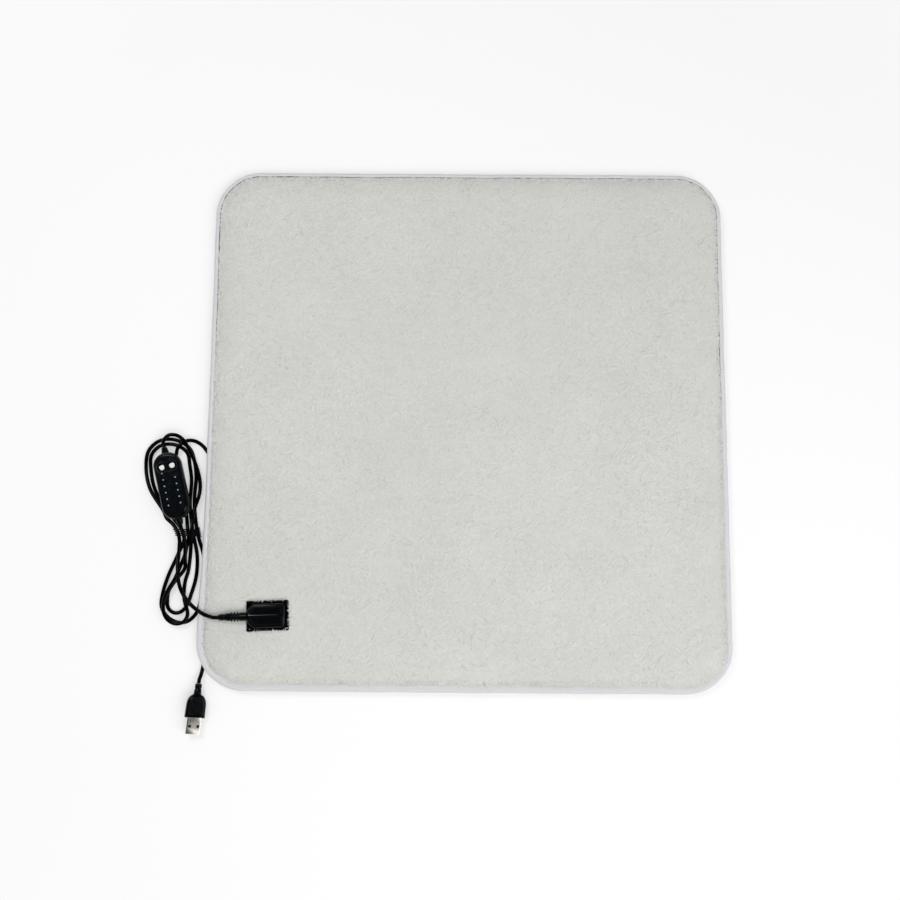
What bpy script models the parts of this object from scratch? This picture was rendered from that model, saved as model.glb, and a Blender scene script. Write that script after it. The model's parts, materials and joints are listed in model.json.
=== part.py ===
"""A plush USB heating pad with its plug-in lead, hand controller and tied hank of cord.

Metres, +Z up. The origin is under the middle of the pad, on the surface that it lies on.
+X is to the pad's right and +Y away from its lower edge. The lead leaves at the lower left.
"""
import math

import bmesh
import bpy
from mathutils import Matrix, Vector

# Clearances
GAP = 0.0003
CUT_OVERRUN = 0.002
MERGE_DISTANCE = 0.00001

# Pad outline
PAD_WIDTH = 0.450
PAD_DEPTH = 0.456
PAD_CORNER_RADIUS = 0.040
CORNER_STEPS = 7
SIDE_BULGE = 0.0025
BULGE_LENGTH = 0.058
BULGE_PLACE_SHARE = -0.40
BULGE_POINT_SHARES = (0.30, 0.05, -0.13, -0.26, -0.36)
LEAST_CORNER_RADIUS = 0.004

# Layers of the pad, from the surface up
BASE_CLOTH = 0.0008
WADDING = 0.0036
CARRIER = 0.0005
HEATING_WIRE_DIAMETER = 0.0016
FELT = 0.0010
PLUSH = 0.0045
CROWN = 0.0010
EDGE_LIFT = 0.0042
EDGE_CURVE = 0.020
WADDING_BOTTOM = BASE_CLOTH + GAP
WADDING_TOP = WADDING_BOTTOM + WADDING
CARRIER_BOTTOM = WADDING_TOP + GAP
CARRIER_TOP = CARRIER_BOTTOM + CARRIER
WIRE_LEVEL = CARRIER_TOP + GAP + HEATING_WIRE_DIAMETER / 2
FELT_BOTTOM = WIRE_LEVEL + HEATING_WIRE_DIAMETER / 2 + GAP
FELT_TOP = FELT_BOTTOM + FELT
PLUSH_BOTTOM = FELT_TOP + GAP
PLUSH_TOP = PLUSH_BOTTOM + PLUSH

# Edge binding, a tape folded round the stitched edge
BINDING_BAND = 0.009
BINDING_HEIGHT = 0.0050
BINDING_TAPE = 0.0009
BINDING_ROUND_STEPS = 5
PILE_LAP = 0.0038
PLUSH_EDGE = 0.0015

# Heating wire laid in runs over the carrier
WIRE_RUNS = 12
WIRE_MARGIN = 0.030
WIRE_RETURN_MARGIN = 0.019
WIRE_TURN_STEPS = 6
CUTOUT_LENGTH = 0.014
CUTOUT_DIAMETER = 0.0020
CUTOUT_PLACE_SHARE = 0.10

# Socket tray let into the plush, with its plug on top
TRAY_FROM_SIDE = 0.0580
TRAY_FROM_EDGE = 0.0628
TRAY_X = TRAY_FROM_SIDE - PAD_WIDTH / 2
TRAY_Y = TRAY_FROM_EDGE - PAD_DEPTH / 2
TRAY_TURN = math.radians(2.5)
TRAY_LENGTH = 0.0360
TRAY_WIDTH = 0.0255
TRAY_WALL = 0.0015
TRAY_FLOOR = 0.0030
TRAY_CORNER = 0.0016
TRAY_PILE_RISE = 0.0018
TERMINAL_BLOCK = 0.0060
BACKPLATE = 0.0014
BACKPLATE_MARGIN = 0.0040
BACKPLATE_CORNER = TRAY_CORNER + BACKPLATE_MARGIN
TRAY_SCREW_DIAMETER = 0.0020
TRAY_SCREW_HEAD = 0.0036
TRAY_SCREW_HEAD_HEIGHT = 0.0008
TRAY_SCREW_INSET = 0.0034
SCREW_CROWN_SHARE = 0.36
SCREW_POINT_SHARE = 0.3
SCREW_TIP_SHARE = 0.25
TRAY_SCREW_BITE = 0.0022
PIN_DIAMETER = 0.0016
PIN_SPACING = 0.0084
PIN_REACH = 0.0090
PIN_TAIL = 0.0030

# Plug
UNPLUG_TRAVEL = 0.0120
PLUG_LENGTH = 0.0316
PLUG_WIDTH = 0.0200
PLUG_CHAMFER = 0.0050
PLUG_FRONT_CHAMFER = 0.0022
PLUG_FLANGE = 0.0027
PLUG_COVER = 0.0036
PLUG_KEEL_LENGTH = 0.0145
PLUG_KEEL_WIDTH = 0.0170
PLUG_RIM_INSET = 0.0016
PLUG_RIM_WIDTH = 0.0013
PLUG_RECESS = 0.0006
PLUG_RIDGE_WIDTH = 0.0028
PLUG_RIDGE_LENGTH = 0.0255
PLUG_EDGE_ROUND = 0.0008
CONTACT_DIAMETER = 0.0032
CONTACT_BORE = 0.0023
CONTACT_LENGTH = 0.0110
PLUG_BOOT_LENGTH = 0.0240
PLUG_BOOT_BASE = 0.0072
PLUG_BOOT_RIB = 0.0084
PLUG_BOOT_TIP = 0.0047
PLUG_BOOT_GROOVE = 0.0011
BOOT_RIB_WIDTH = 0.0014
BOOT_RIB_SPACING = 0.0026

# Cord and its tied hank
CORD_DIAMETER = 0.0033
CORD_SPACING = 0.0077
STRAND_STEP = 0.00375
LOOP_POINTS = 24
TIE_DIAMETER = 0.0011
TIE_TURNS = 4
TIE_PITCH = 0.0016
TIE_TAIL = 0.0045
TIE_POINTS = 30
TIE_REACH = 0.0120
TIE_SLANT_SHARE = 1.36
WAIST_X = -0.2372
WAIST_Y = -0.0952
WAIST_FLAT = 0.0045
WAIST_RISE_LENGTH = 0.0090
LOBE_EASE = 1.3

# Controller
CASE_X = -0.2530
CASE_Y = -0.0556
CASE_LEAN = math.radians(14.2)
CASE_LENGTH = 0.0585
CASE_WIDTH = 0.0238
CASE_HEIGHT = 0.0110
CASE_CORNER = 0.0112
CASE_WALL = 0.0016
CASE_ROUND = 0.0032
CASE_LIFT = 0.0050
PANEL_MARGIN = 0.0022
PANEL_THICKNESS = 0.0008
PANEL_SEAT = 0.0005
BEZEL_WIDTH = 0.0006
BEZEL_RISE = 0.0004
BUTTON_SIZE = 0.0064
BUTTON_CORNER = 0.0022
BUTTON_RISE = 0.0010
BUTTON_SKIRT = 0.0008
BUTTON_TRAVEL = 0.0004
BUTTON_SPACING = 0.0090
BUTTON_PLACE = 0.0164
LED_DIAMETER = 0.0015
LED_ROW_PITCH = 0.00565
LED_COLUMN_SPACING = 0.0105
LED_FIRST_ROW = 0.0116
LEFT_LEDS = 6
RIGHT_LEDS = 5
BOARD_THICKNESS = 0.0012
BOARD_MARGIN = 0.0008
SWITCH_SIZE = 0.0045
SWITCH_STEM = 0.0022
CASE_BOOT_LENGTH = 0.0046
CASE_BOOT_BASE = 0.0066
CASE_BOOT_TIP = 0.0048
CASE_SCREW_DIAMETER = 0.0022
CASE_SCREW_HEAD = 0.0040
CASE_SCREW_PLACE = 0.0215
CASE_SCREW_BITE = 0.0012

# USB plug at the far end
USB_X = -0.2244
USB_Y = -0.2222
USB_LEVEL = 0.0062
USB_TURN = math.radians(5.2)
USB_ROLL = math.radians(21.0)
USB_BOOT_LENGTH = 0.0090
USB_BOOT_BASE = 0.0066
USB_BOOT_TIP = 0.0046
USB_BODY_LENGTH = 0.0190
USB_BODY_WIDTH = 0.0160
USB_BODY_HEIGHT = 0.0080
USB_BODY_CORNER = 0.0022
USB_SHELL_WIDTH = 0.0120
USB_SHELL_HEIGHT = 0.0045
USB_SHELL_REACH = 0.0130
USB_SHELL_SEAT = 0.0060
USB_SHELL_WALL = 0.0003
USB_WINDOW = 0.0024
USB_WINDOW_SPACING = 0.0068
USB_WINDOW_PLACE = 0.0066
USB_TONGUE_HEIGHT = 0.0018
USB_TONGUE_REACH = 0.0115
USB_CONTACT_WIDTH = 0.0011
USB_CONTACT_THICKNESS = 0.0003
USB_CONTACT_SPACING = 0.0070

# Colours, linear RGB
PLUSH_COLOUR = (0.62, 0.64, 0.60)
BINDING_COLOUR = (0.70, 0.70, 0.76)
CLOTH_COLOUR = (0.55, 0.56, 0.54)
WADDING_COLOUR = (0.80, 0.80, 0.78)
BLACK_PLASTIC = (0.012, 0.013, 0.016)
BLACK_RUBBER = (0.008, 0.008, 0.010)
SMOKED_LENS = (0.20, 0.21, 0.20)
BRASS = (0.60, 0.42, 0.14)
STEEL = (0.55, 0.56, 0.58)
NICKEL = (0.75, 0.75, 0.74)
COPPER_RED = (0.45, 0.06, 0.03)
WHITE_PLASTIC = (0.75, 0.75, 0.73)
BOARD_GREEN = (0.02, 0.14, 0.05)

# Frames of the three rigid groups
TRAY_FRAME = Matrix.Translation((TRAY_X, TRAY_Y, 0)) @ Matrix.Rotation(TRAY_TURN, 4, "Z")
CASE_LEVEL = CASE_LIFT + CASE_HEIGHT / 2
CASE_FRAME = Matrix.Translation((CASE_X, CASE_Y, CASE_LEVEL)) @ Matrix.Rotation(CASE_LEAN, 4, "Z")
USB_FRAME = (
    Matrix.Translation((USB_X, USB_Y, USB_LEVEL))
    @ Matrix.Rotation(-USB_TURN, 4, "Z")
    @ Matrix.Rotation(USB_ROLL, 4, "Y")
)


def clear_scene():
    """Remove every object that the file opened with."""
    for thing in list(bpy.data.objects):
        bpy.data.objects.remove(thing, do_unlink=True)


def material(name, colour, roughness, metallic=0.0):
    """A plain Principled material."""
    finish = bpy.data.materials.new(name)
    finish.use_nodes = True
    shader = finish.node_tree.nodes["Principled BSDF"]
    shader.inputs["Base Color"].default_value = (*colour, 1.0)
    shader.inputs["Roughness"].default_value = roughness
    shader.inputs["Metallic"].default_value = metallic
    finish.diffuse_color = (*colour, 1.0)
    return finish


def add_object(name, mesh, colour, roughness=0.5, metallic=0.0, frame=None):
    """Link a mesh as a named object with its own material."""
    thing = bpy.data.objects.new(name, mesh)
    bpy.context.collection.objects.link(thing)
    thing.data.materials.append(material(name + "_finish", colour, roughness, metallic))
    if frame is not None:
        thing.matrix_world = frame
    return thing


def mesh_from(name, points, faces, smooth_angle=35.0):
    """A mesh from points and faces, faces turned outwards and shaded by angle."""
    shape = bmesh.new()
    corners = [shape.verts.new(point) for point in points]
    for face in faces:
        shape.faces.new([corners[index] for index in face])
    bmesh.ops.remove_doubles(shape, verts=shape.verts, dist=MERGE_DISTANCE)
    bmesh.ops.recalc_face_normals(shape, faces=shape.faces)
    mesh = bpy.data.meshes.new(name)
    shape.to_mesh(mesh)
    shape.free()
    mesh.shade_smooth()
    mesh.set_sharp_from_angle(angle=math.radians(smooth_angle))
    return mesh


def loft(name, rings, smooth_angle=35.0):
    """Join rings of as many points each, in order, and close the first and the last."""
    count = len(rings[0])
    points = [point for ring in rings for point in ring]
    faces = [tuple(range(count)), tuple((len(rings) - 1) * count + i for i in reversed(range(count)))]
    for row in range(len(rings) - 1):
        low, high = row * count, (row + 1) * count
        for i in range(count):
            j = (i + 1) % count
            faces.append((low + j, low + i, high + i, high + j))
    return mesh_from(name, points, faces, smooth_angle)


def closed_band(name, rings, smooth_angle=35.0):
    """Join rings in order and the last to the first: a tube whose section closes on itself."""
    count = len(rings[0])
    points = [point for ring in rings for point in ring]
    faces = []
    for row in range(len(rings)):
        low, high = row * count, ((row + 1) % len(rings)) * count
        for i in range(count):
            j = (i + 1) % count
            faces.append((low + j, low + i, high + i, high + j))
    return mesh_from(name, points, faces, smooth_angle)


def turned(name, profile, sides=20, smooth_angle=35.0):
    """A solid turned about X from (along, radius) pairs, its ends flat."""
    rings = []
    for along, radius in profile:
        ring = []
        for i in range(sides):
            angle = 2 * math.pi * i / sides
            ring.append((along, radius * math.cos(angle), radius * math.sin(angle)))
        rings.append(ring)
    return loft(name, rings, smooth_angle)


def rounded_rectangle(length, width, radius, steps=4):
    """Outline points of a rounded rectangle, anticlockwise, centred on the origin."""
    points = []
    for quarter, (sx, sy) in enumerate(((1, 1), (-1, 1), (-1, -1), (1, -1))):
        centre_x, centre_y = sx * (length / 2 - radius), sy * (width / 2 - radius)
        for step in range(steps + 1):
            angle = math.pi / 2 * (quarter + step / steps)
            points.append((centre_x + radius * math.cos(angle), centre_y + radius * math.sin(angle)))
    return points


def plate(name, outline, low, high, edge=0.0, smooth_angle=35.0):
    """An outline raised from low to high, its upper rim chamfered by edge."""
    levels = [(0.0, low), (0.0, high - edge)] if edge else [(0.0, low), (0.0, high)]
    if edge:
        levels.append((edge, high))
    rings = []
    for inset, level in levels:
        shrunk = inset_outline(outline, inset) if inset else outline
        rings.append([(x, y, level) for x, y in shrunk])
    return loft(name, rings, smooth_angle)


def inset_outline(outline, inset):
    """Move each corner of a convex, anticlockwise outline inwards by the same wall distance."""
    count = len(outline)
    moved = []
    for i in range(count):
        before, here, after = (Vector(outline[k % count]) for k in (i - 1, i, i + 1))
        first, second = (here - before).normalized(), (after - here).normalized()
        normal = Vector((-(first.y + second.y), first.x + second.x)).normalized()
        cosine = max(0.3, normal.dot(Vector((-first.y, first.x))))
        moved.append(tuple(here + normal * inset / cosine))
    return moved


def box_mesh(name, low, high):
    """A plain box between two corners."""
    (x0, y0, z0), (x1, y1, z1) = low, high
    rings = [[(x0, y0, z), (x1, y0, z), (x1, y1, z), (x0, y1, z)] for z in (z0, z1)]
    return loft(name, rings)


def cutter(mesh, frame=None):
    """A hidden tool body that shapes its neighbour."""
    tool = bpy.data.objects.new(mesh.name, mesh)
    bpy.context.collection.objects.link(tool)
    if frame is not None:
        tool.matrix_world = frame
    tool.hide_render = True
    tool.display_type = "WIRE"
    return tool


def boolean(target, tool, operation="DIFFERENCE"):
    """Add an exact Boolean to the target."""
    step = target.modifiers.new(tool.name, "BOOLEAN")
    step.operation = operation
    step.solver = "EXACT"
    step.object = tool


def tube(name, points, diameter, resolution, colour, roughness=0.4, metallic=0.0):
    """A round cord along points, with flat ends."""
    curve = bpy.data.curves.new(name, "CURVE")
    curve.dimensions = "3D"
    curve.bevel_depth = diameter / 2
    curve.bevel_resolution = resolution
    curve.use_fill_caps = True
    spline = curve.splines.new("POLY")
    spline.points.add(len(points) - 1)
    for knot, point in zip(spline.points, points):
        knot.co = (*point, 1.0)
    return add_object(name, curve, colour, roughness, metallic)


def smooth_route(route, spacing):
    """Evenly spaced points on a smooth curve through the route, its first and last steps straight."""
    knots = [Vector(point) for point in route]
    fine_steps = 24
    fine = []
    for before, here, after, later in zip(knots, knots[1:], knots[2:], knots[3:]):
        t1 = math.sqrt((here - before).length)
        t2 = t1 + math.sqrt((after - here).length)
        t3 = t2 + math.sqrt((later - after).length)
        for step in range(fine_steps):
            t = t1 + (t2 - t1) * step / fine_steps
            a1 = before.lerp(here, t / t1)
            a2 = here.lerp(after, (t - t1) / (t2 - t1))
            a3 = after.lerp(later, (t - t2) / (t3 - t2))
            b1 = a1.lerp(a2, t / t2)
            b2 = a2.lerp(a3, (t - t1) / (t3 - t1))
            fine.append(b1.lerp(b2, (t - t1) / (t2 - t1)))
    fine.append(knots[-2])
    lengths = [0.0]
    for first, second in zip(fine, fine[1:]):
        lengths.append(lengths[-1] + (second - first).length)
    count = max(2, round(lengths[-1] / spacing))
    points, index = [knots[0], fine[0]], 0
    for step in range(1, count):
        wanted = lengths[-1] * step / count
        while lengths[index + 1] < wanted:
            index += 1
        share = (wanted - lengths[index]) / (lengths[index + 1] - lengths[index])
        points.append(fine[index].lerp(fine[index + 1], share))
    return [*points, fine[-1], knots[-1]]


def pad_outline(inset):
    """The pad's outline, moved inwards by inset; the side by the lead bulges a little."""
    radius = max(PAD_CORNER_RADIUS - inset, LEAST_CORNER_RADIUS)
    width, depth = PAD_WIDTH - 2 * inset, PAD_DEPTH - 2 * inset
    corners = rounded_rectangle(width, depth, radius, CORNER_STEPS)
    side_start = 2 * (CORNER_STEPS + 1)
    side = [(-width / 2, share * depth) for share in BULGE_POINT_SHARES]
    points = corners[:side_start] + side + corners[side_start:]
    bulged = []
    for x, y in points:
        swell = SIDE_BULGE * math.exp(-(((y - BULGE_PLACE_SHARE * PAD_DEPTH) / BULGE_LENGTH) ** 2))
        leftness = max(0.0, -2 * x / PAD_WIDTH) ** 6
        bulged.append((x - swell * leftness, y))
    return bulged


def pad_layer(name, profile, colour, roughness=0.9):
    """A soft layer from (inset, level) pairs, from its underside's middle round to its top's."""
    rings = [[(x, y, level) for x, y in pad_outline(inset)] for inset, level in profile]
    return add_object(name, loft(name, rings, 60.0), colour, roughness)


def tray_window(name, margin, low, high):
    """A hole round the tray through a soft layer."""
    outline = rounded_rectangle(
        TRAY_LENGTH + 2 * margin, TRAY_WIDTH + 2 * margin, TRAY_CORNER + margin
    )
    return cutter(plate(name, outline, low, high), TRAY_FRAME)


# Levels of the plug-in connector
TRAY_BOTTOM = CARRIER_TOP + GAP
TRAY_INSIDE = TRAY_BOTTOM + TRAY_FLOOR
TRAY_TOP = PLUSH_TOP + TRAY_PILE_RISE
KEEL_BOTTOM = TRAY_INSIDE + GAP
FLANGE_BOTTOM = PLUSH_TOP + GAP
FLANGE_TOP = FLANGE_BOTTOM + PLUG_FLANGE
COVER_BOTTOM = FLANGE_TOP + GAP
COVER_TOP = COVER_BOTTOM + PLUG_COVER
PIN_LEVEL = (KEEL_BOTTOM + FLANGE_BOTTOM) / 2
BOOT_LEVEL = PLUSH_TOP + PLUG_BOOT_RIB / 2 - GAP
BLOCK_FACE = TRAY_LENGTH / 2 - TERMINAL_BLOCK
PLUG_TAIL = -TRAY_LENGTH / 2 + TRAY_WALL
PLUG_NOSE = PLUG_TAIL + PLUG_LENGTH
KEEL_NOSE = BLOCK_FACE - GAP
KEEL_TAIL = KEEL_NOSE - PLUG_KEEL_LENGTH
BOOT_START = PLUG_TAIL - GAP
BOOT_END = BOOT_START - PLUG_BOOT_LENGTH


def build_soft_layers():
    """Plush top, felt, wadding and base cloth, with the folded edge binding."""
    tape_top = EDGE_LIFT + BINDING_HEIGHT
    tape_inner_low = EDGE_LIFT + BINDING_TAPE
    tape_inner_high = tape_top - BINDING_TAPE
    lip = BINDING_BAND + GAP
    edge_in = BINDING_TAPE + GAP
    plush_edge_high = tape_inner_high - GAP
    plush_edge_low = plush_edge_high - PLUSH_EDGE
    lap_inset = BINDING_BAND - PILE_LAP
    lap_low = tape_top + GAP
    rise = PLUSH_TOP - lap_low
    plush = pad_layer(
        "plush_top",
        [
            (PAD_WIDTH * 0.32, PLUSH_BOTTOM),
            (lip + EDGE_CURVE * 0.22, PLUSH_BOTTOM),
            (lip, plush_edge_low),
            (edge_in, plush_edge_low),
            (edge_in, plush_edge_high),
            (lip, plush_edge_high),
            (lip, lap_low),
            (lap_inset, lap_low),
            (lap_inset + EDGE_CURVE * 0.02, lap_low + rise * 0.24),
            (lap_inset + EDGE_CURVE * 0.16, lap_low + rise * 0.52),
            (lap_inset + EDGE_CURVE * 0.38, lap_low + rise * 0.78),
            (lap_inset + EDGE_CURVE * 0.68, lap_low + rise * 0.94),
            (lap_inset + EDGE_CURVE, PLUSH_TOP),
            (PAD_WIDTH * 0.20, PLUSH_TOP),
            (PAD_WIDTH * 0.28, PLUSH_TOP + CROWN * 0.45),
            (PAD_WIDTH * 0.36, PLUSH_TOP + CROWN * 0.8),
            (PAD_WIDTH * 0.43, PLUSH_TOP + CROWN),
        ],
        PLUSH_COLOUR,
    )
    boolean(plush, tray_window("plush_window", GAP, PLUSH_BOTTOM - CUT_OVERRUN, PLUSH_TOP + CUT_OVERRUN))
    trough_radius = PLUG_BOOT_RIB / 2 + GAP
    trough = turned("boot_trough", [(-PAD_WIDTH / 2 - TRAY_X, trough_radius), (0.0, trough_radius)], 16)
    boolean(plush, cutter(trough, TRAY_FRAME @ Matrix.Translation((0, 0, BOOT_LEVEL))))

    felt_inset = lip + EDGE_CURVE * 0.3
    felt = pad_layer(
        "upper_felt",
        [(felt_inset + CROWN, FELT_BOTTOM), (felt_inset, FELT_BOTTOM), (felt_inset, FELT_TOP),
         (felt_inset + CROWN, FELT_TOP)],
        WADDING_COLOUR,
    )
    boolean(felt, tray_window("felt_window", PIN_TAIL + GAP, FELT_BOTTOM - GAP, FELT_TOP + GAP))

    base_edge_low = tape_inner_low + GAP
    base_edge_high = base_edge_low + BASE_CLOTH
    pad_layer(
        "base_cloth",
        [
            (lip + EDGE_CURVE, 0.0),
            (lip + EDGE_CURVE * 0.95, 0.0),
            (lip + EDGE_CURVE * 0.72, EDGE_LIFT * 0.06),
            (lip + EDGE_CURVE * 0.44, EDGE_LIFT * 0.28),
            (lip + EDGE_CURVE * 0.20, EDGE_LIFT * 0.68),
            (lip, base_edge_low - GAP),
            (lip, base_edge_low),
            (edge_in, base_edge_low),
            (edge_in, base_edge_high),
            (lip + BASE_CLOTH, base_edge_high),
            (lip + BASE_CLOTH + EDGE_CURVE * 0.20, EDGE_LIFT * 0.68 + BASE_CLOTH),
            (lip + BASE_CLOTH + EDGE_CURVE * 0.44, EDGE_LIFT * 0.28 + BASE_CLOTH),
            (lip + BASE_CLOTH + EDGE_CURVE * 0.72, EDGE_LIFT * 0.06 + BASE_CLOTH),
            (lip + BASE_CLOTH + EDGE_CURVE * 0.95, BASE_CLOTH),
            (lip + BASE_CLOTH + EDGE_CURVE, BASE_CLOTH),
        ],
        CLOTH_COLOUR,
    )

    wadding = pad_layer(
        "wadding",
        [
            (lip + BASE_CLOTH + EDGE_CURVE, WADDING_BOTTOM),
            (lip + BASE_CLOTH + EDGE_CURVE * 0.95, WADDING_BOTTOM + GAP),
            (lip + BASE_CLOTH + EDGE_CURVE * 0.72, WADDING_BOTTOM + EDGE_LIFT * 0.14),
            (lip + BASE_CLOTH + EDGE_CURVE * 0.44, WADDING_BOTTOM + EDGE_LIFT * 0.38),
            (lip + BASE_CLOTH + EDGE_CURVE * 0.26, WADDING_TOP - GAP),
            (lip + BASE_CLOTH + EDGE_CURVE * 0.30, WADDING_TOP),
            (lip + BASE_CLOTH + EDGE_CURVE, WADDING_TOP),
        ],
        WADDING_COLOUR,
    )
    heads_bottom = CARRIER_BOTTOM - GAP - BACKPLATE - GAP - TRAY_SCREW_HEAD_HEIGHT
    pocket = tray_window("wadding_pocket", BACKPLATE_MARGIN + GAP, heads_bottom - GAP, WADDING_TOP + GAP)
    boolean(wadding, pocket)

    pad_layer_binding(tape_inner_low, tape_inner_high)


def pad_layer_binding(inner_low, inner_high):
    """The C-shaped tape round the edge, open inwards to take the layers' edges."""
    radius = BINDING_HEIGHT / 2
    middle = EDGE_LIFT + radius
    section = [(BINDING_BAND, EDGE_LIFT)]
    for step in range(BINDING_ROUND_STEPS + 1):
        angle = -math.pi / 2 - math.pi * step / BINDING_ROUND_STEPS
        section.append((radius + radius * math.cos(angle), middle + radius * math.sin(angle)))
    section += [
        (BINDING_BAND, EDGE_LIFT + BINDING_HEIGHT),
        (BINDING_BAND, inner_high),
        (BINDING_TAPE, inner_high),
        (BINDING_TAPE, inner_low),
        (BINDING_BAND, inner_low),
    ]
    rings = [[(x, y, level) for x, y in pad_outline(inset)] for inset, level in section]
    add_object("edge_binding", closed_band("edge_binding", rings, 50.0), BINDING_COLOUR, 0.7)


def wire_rows():
    """The runs of the heating wire: (left end, right end, y) from the lower edge up."""
    half_depth = PAD_DEPTH / 2 - WIRE_MARGIN
    pitch = 2 * half_depth / (WIRE_RUNS - 1)
    tray_reach = TRAY_WIDTH / 2 + BACKPLATE_MARGIN + pitch / 2
    rows = []
    for run in range(WIRE_RUNS):
        y = -half_depth + run * pitch
        left = -PAD_WIDTH / 2 + WIRE_MARGIN + pitch / 2
        if abs(y - TRAY_Y) < tray_reach:
            left = TRAY_X + TRAY_LENGTH / 2 + BACKPLATE_MARGIN + pitch
        rows.append((left, PAD_WIDTH / 2 - WIRE_MARGIN - pitch / 2, y))
    return rows, pitch


def build_heater():
    """Carrier cloth, the heating wire laid in runs, its cut-out and its two leads."""
    carrier_inset = BINDING_BAND + GAP + EDGE_CURVE * 0.25
    carrier = pad_layer(
        "heater_carrier",
        [(carrier_inset + CROWN, CARRIER_BOTTOM), (carrier_inset, CARRIER_BOTTOM),
         (carrier_inset, CARRIER_TOP), (carrier_inset + CROWN, CARRIER_TOP)],
        CLOTH_COLOUR,
    )
    for sx in (-1, 1):
        for sy in (-1, 1):
            hole_radius = TRAY_SCREW_DIAMETER / 2 + GAP
            spot = Matrix.Translation(
                (sx * (TRAY_LENGTH / 2 - TRAY_SCREW_INSET), sy * (TRAY_WIDTH / 2 - TRAY_SCREW_INSET),
                 CARRIER_TOP + GAP)
            )
            reach = CARRIER + 2 * GAP
            hole = turned("carrier_hole", [(0.0, hole_radius), (reach, hole_radius)], 10)
            boolean(carrier, cutter(hole, TRAY_FRAME @ spot @ Matrix.Rotation(math.pi / 2, 4, "Y")))

    rows, pitch = wire_rows()
    radius = pitch / 2
    points = []
    for run, (left, right, y) in enumerate(rows):
        start, end = (left, right) if run % 2 == 0 else (right, left)
        points += [(start, y), (end, y)]
        if run == len(rows) - 1:
            break
        side = 1 if run % 2 == 0 else -1
        turn_x = end if side > 0 else max(end, rows[run + 1][0])
        points[-1] = (turn_x, y)
        for step in range(1, WIRE_TURN_STEPS):
            angle = math.pi * step / WIRE_TURN_STEPS
            points.append((turn_x + side * radius * math.sin(angle), y + radius * (1 - math.cos(angle))))
        if run + 1 < len(rows):
            rows[run + 1] = (
                (turn_x, rows[run + 1][1], rows[run + 1][2]) if side < 0
                else (rows[run + 1][0], turn_x, rows[run + 1][2])
            )
    tube("heating_wire", [(x, y, WIRE_LEVEL) for x, y in points], HEATING_WIRE_DIAMETER, 1, COPPER_RED)

    tail_x = TRAY_LENGTH / 2 + PIN_TAIL + GAP
    tails = [TRAY_FRAME @ Vector((tail_x, side * PIN_SPACING / 2, WIRE_LEVEL)) for side in (-1, 1)]
    first = Vector((*points[0], WIRE_LEVEL))
    elbow = HEATING_WIRE_DIAMETER * 4
    supply = [
        tails[0],
        tails[0] + Vector((elbow, 0, 0)),
        Vector((tails[0].x + elbow * 1.6, (tails[0].y + first.y) / 2, WIRE_LEVEL)),
        first - Vector((elbow, 0, 0)),
        first - Vector((GAP, 0, 0)),
    ]
    tube("supply_lead", smooth_route(supply, elbow), HEATING_WIRE_DIAMETER, 1, COPPER_RED)

    last = Vector((*points[-1], WIRE_LEVEL))
    edge_x = -PAD_WIDTH / 2 + WIRE_RETURN_MARGIN
    cutout_y = CUTOUT_PLACE_SHARE * PAD_DEPTH
    joint = CUTOUT_LENGTH / 2 + GAP
    over_y = TRAY_Y + TRAY_WIDTH / 2 + BACKPLATE_MARGIN + elbow
    upper = [
        last - Vector((GAP, 0, 0)),
        last - Vector((elbow, 0, 0)),
        Vector((edge_x, last.y - elbow * 2, WIRE_LEVEL)),
        Vector((edge_x, (last.y + cutout_y) / 2, WIRE_LEVEL)),
        Vector((edge_x, cutout_y + joint + elbow, WIRE_LEVEL)),
        Vector((edge_x, cutout_y + joint, WIRE_LEVEL)),
    ]
    lower = [
        Vector((edge_x, cutout_y - joint, WIRE_LEVEL)),
        Vector((edge_x, cutout_y - joint - elbow, WIRE_LEVEL)),
        Vector((edge_x, over_y + elbow * 3, WIRE_LEVEL)),
        Vector((edge_x + elbow, over_y + elbow / 2, WIRE_LEVEL)),
        Vector((TRAY_X, over_y, WIRE_LEVEL)),
        Vector((tails[1].x, over_y, WIRE_LEVEL)),
        Vector((tails[1].x + elbow, (over_y + tails[1].y) / 2, WIRE_LEVEL)),
        tails[1] + Vector((elbow / 2, 0, 0)),
        tails[1],
    ]
    tube("return_lead_upper", smooth_route(upper, elbow), HEATING_WIRE_DIAMETER, 1, COPPER_RED)
    tube("return_lead_lower", smooth_route(lower, elbow), HEATING_WIRE_DIAMETER, 1, COPPER_RED)

    end = CUTOUT_LENGTH / 2
    shoulder = end - CUTOUT_DIAMETER / 2
    neck = HEATING_WIRE_DIAMETER / 2
    sleeve = turned(
        "thermal_cutout",
        [(-end, neck), (-shoulder, CUTOUT_DIAMETER / 2), (shoulder, CUTOUT_DIAMETER / 2), (end, neck)],
        12,
    )
    seat = Matrix.Translation((edge_x, cutout_y, WIRE_LEVEL)) @ Matrix.Rotation(math.pi / 2, 4, "Z")
    add_object("thermal_cutout", sleeve, WHITE_PLASTIC, 0.6, frame=seat)


def pin_path(extra):
    """Corner points of a contact pin: through the terminal block and down to its tail."""
    stand = BLOCK_FACE + TERMINAL_BLOCK / 2
    tip = BLOCK_FACE - PIN_REACH - extra
    return tip, stand, TRAY_LENGTH / 2 + PIN_TAIL + extra


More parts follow.
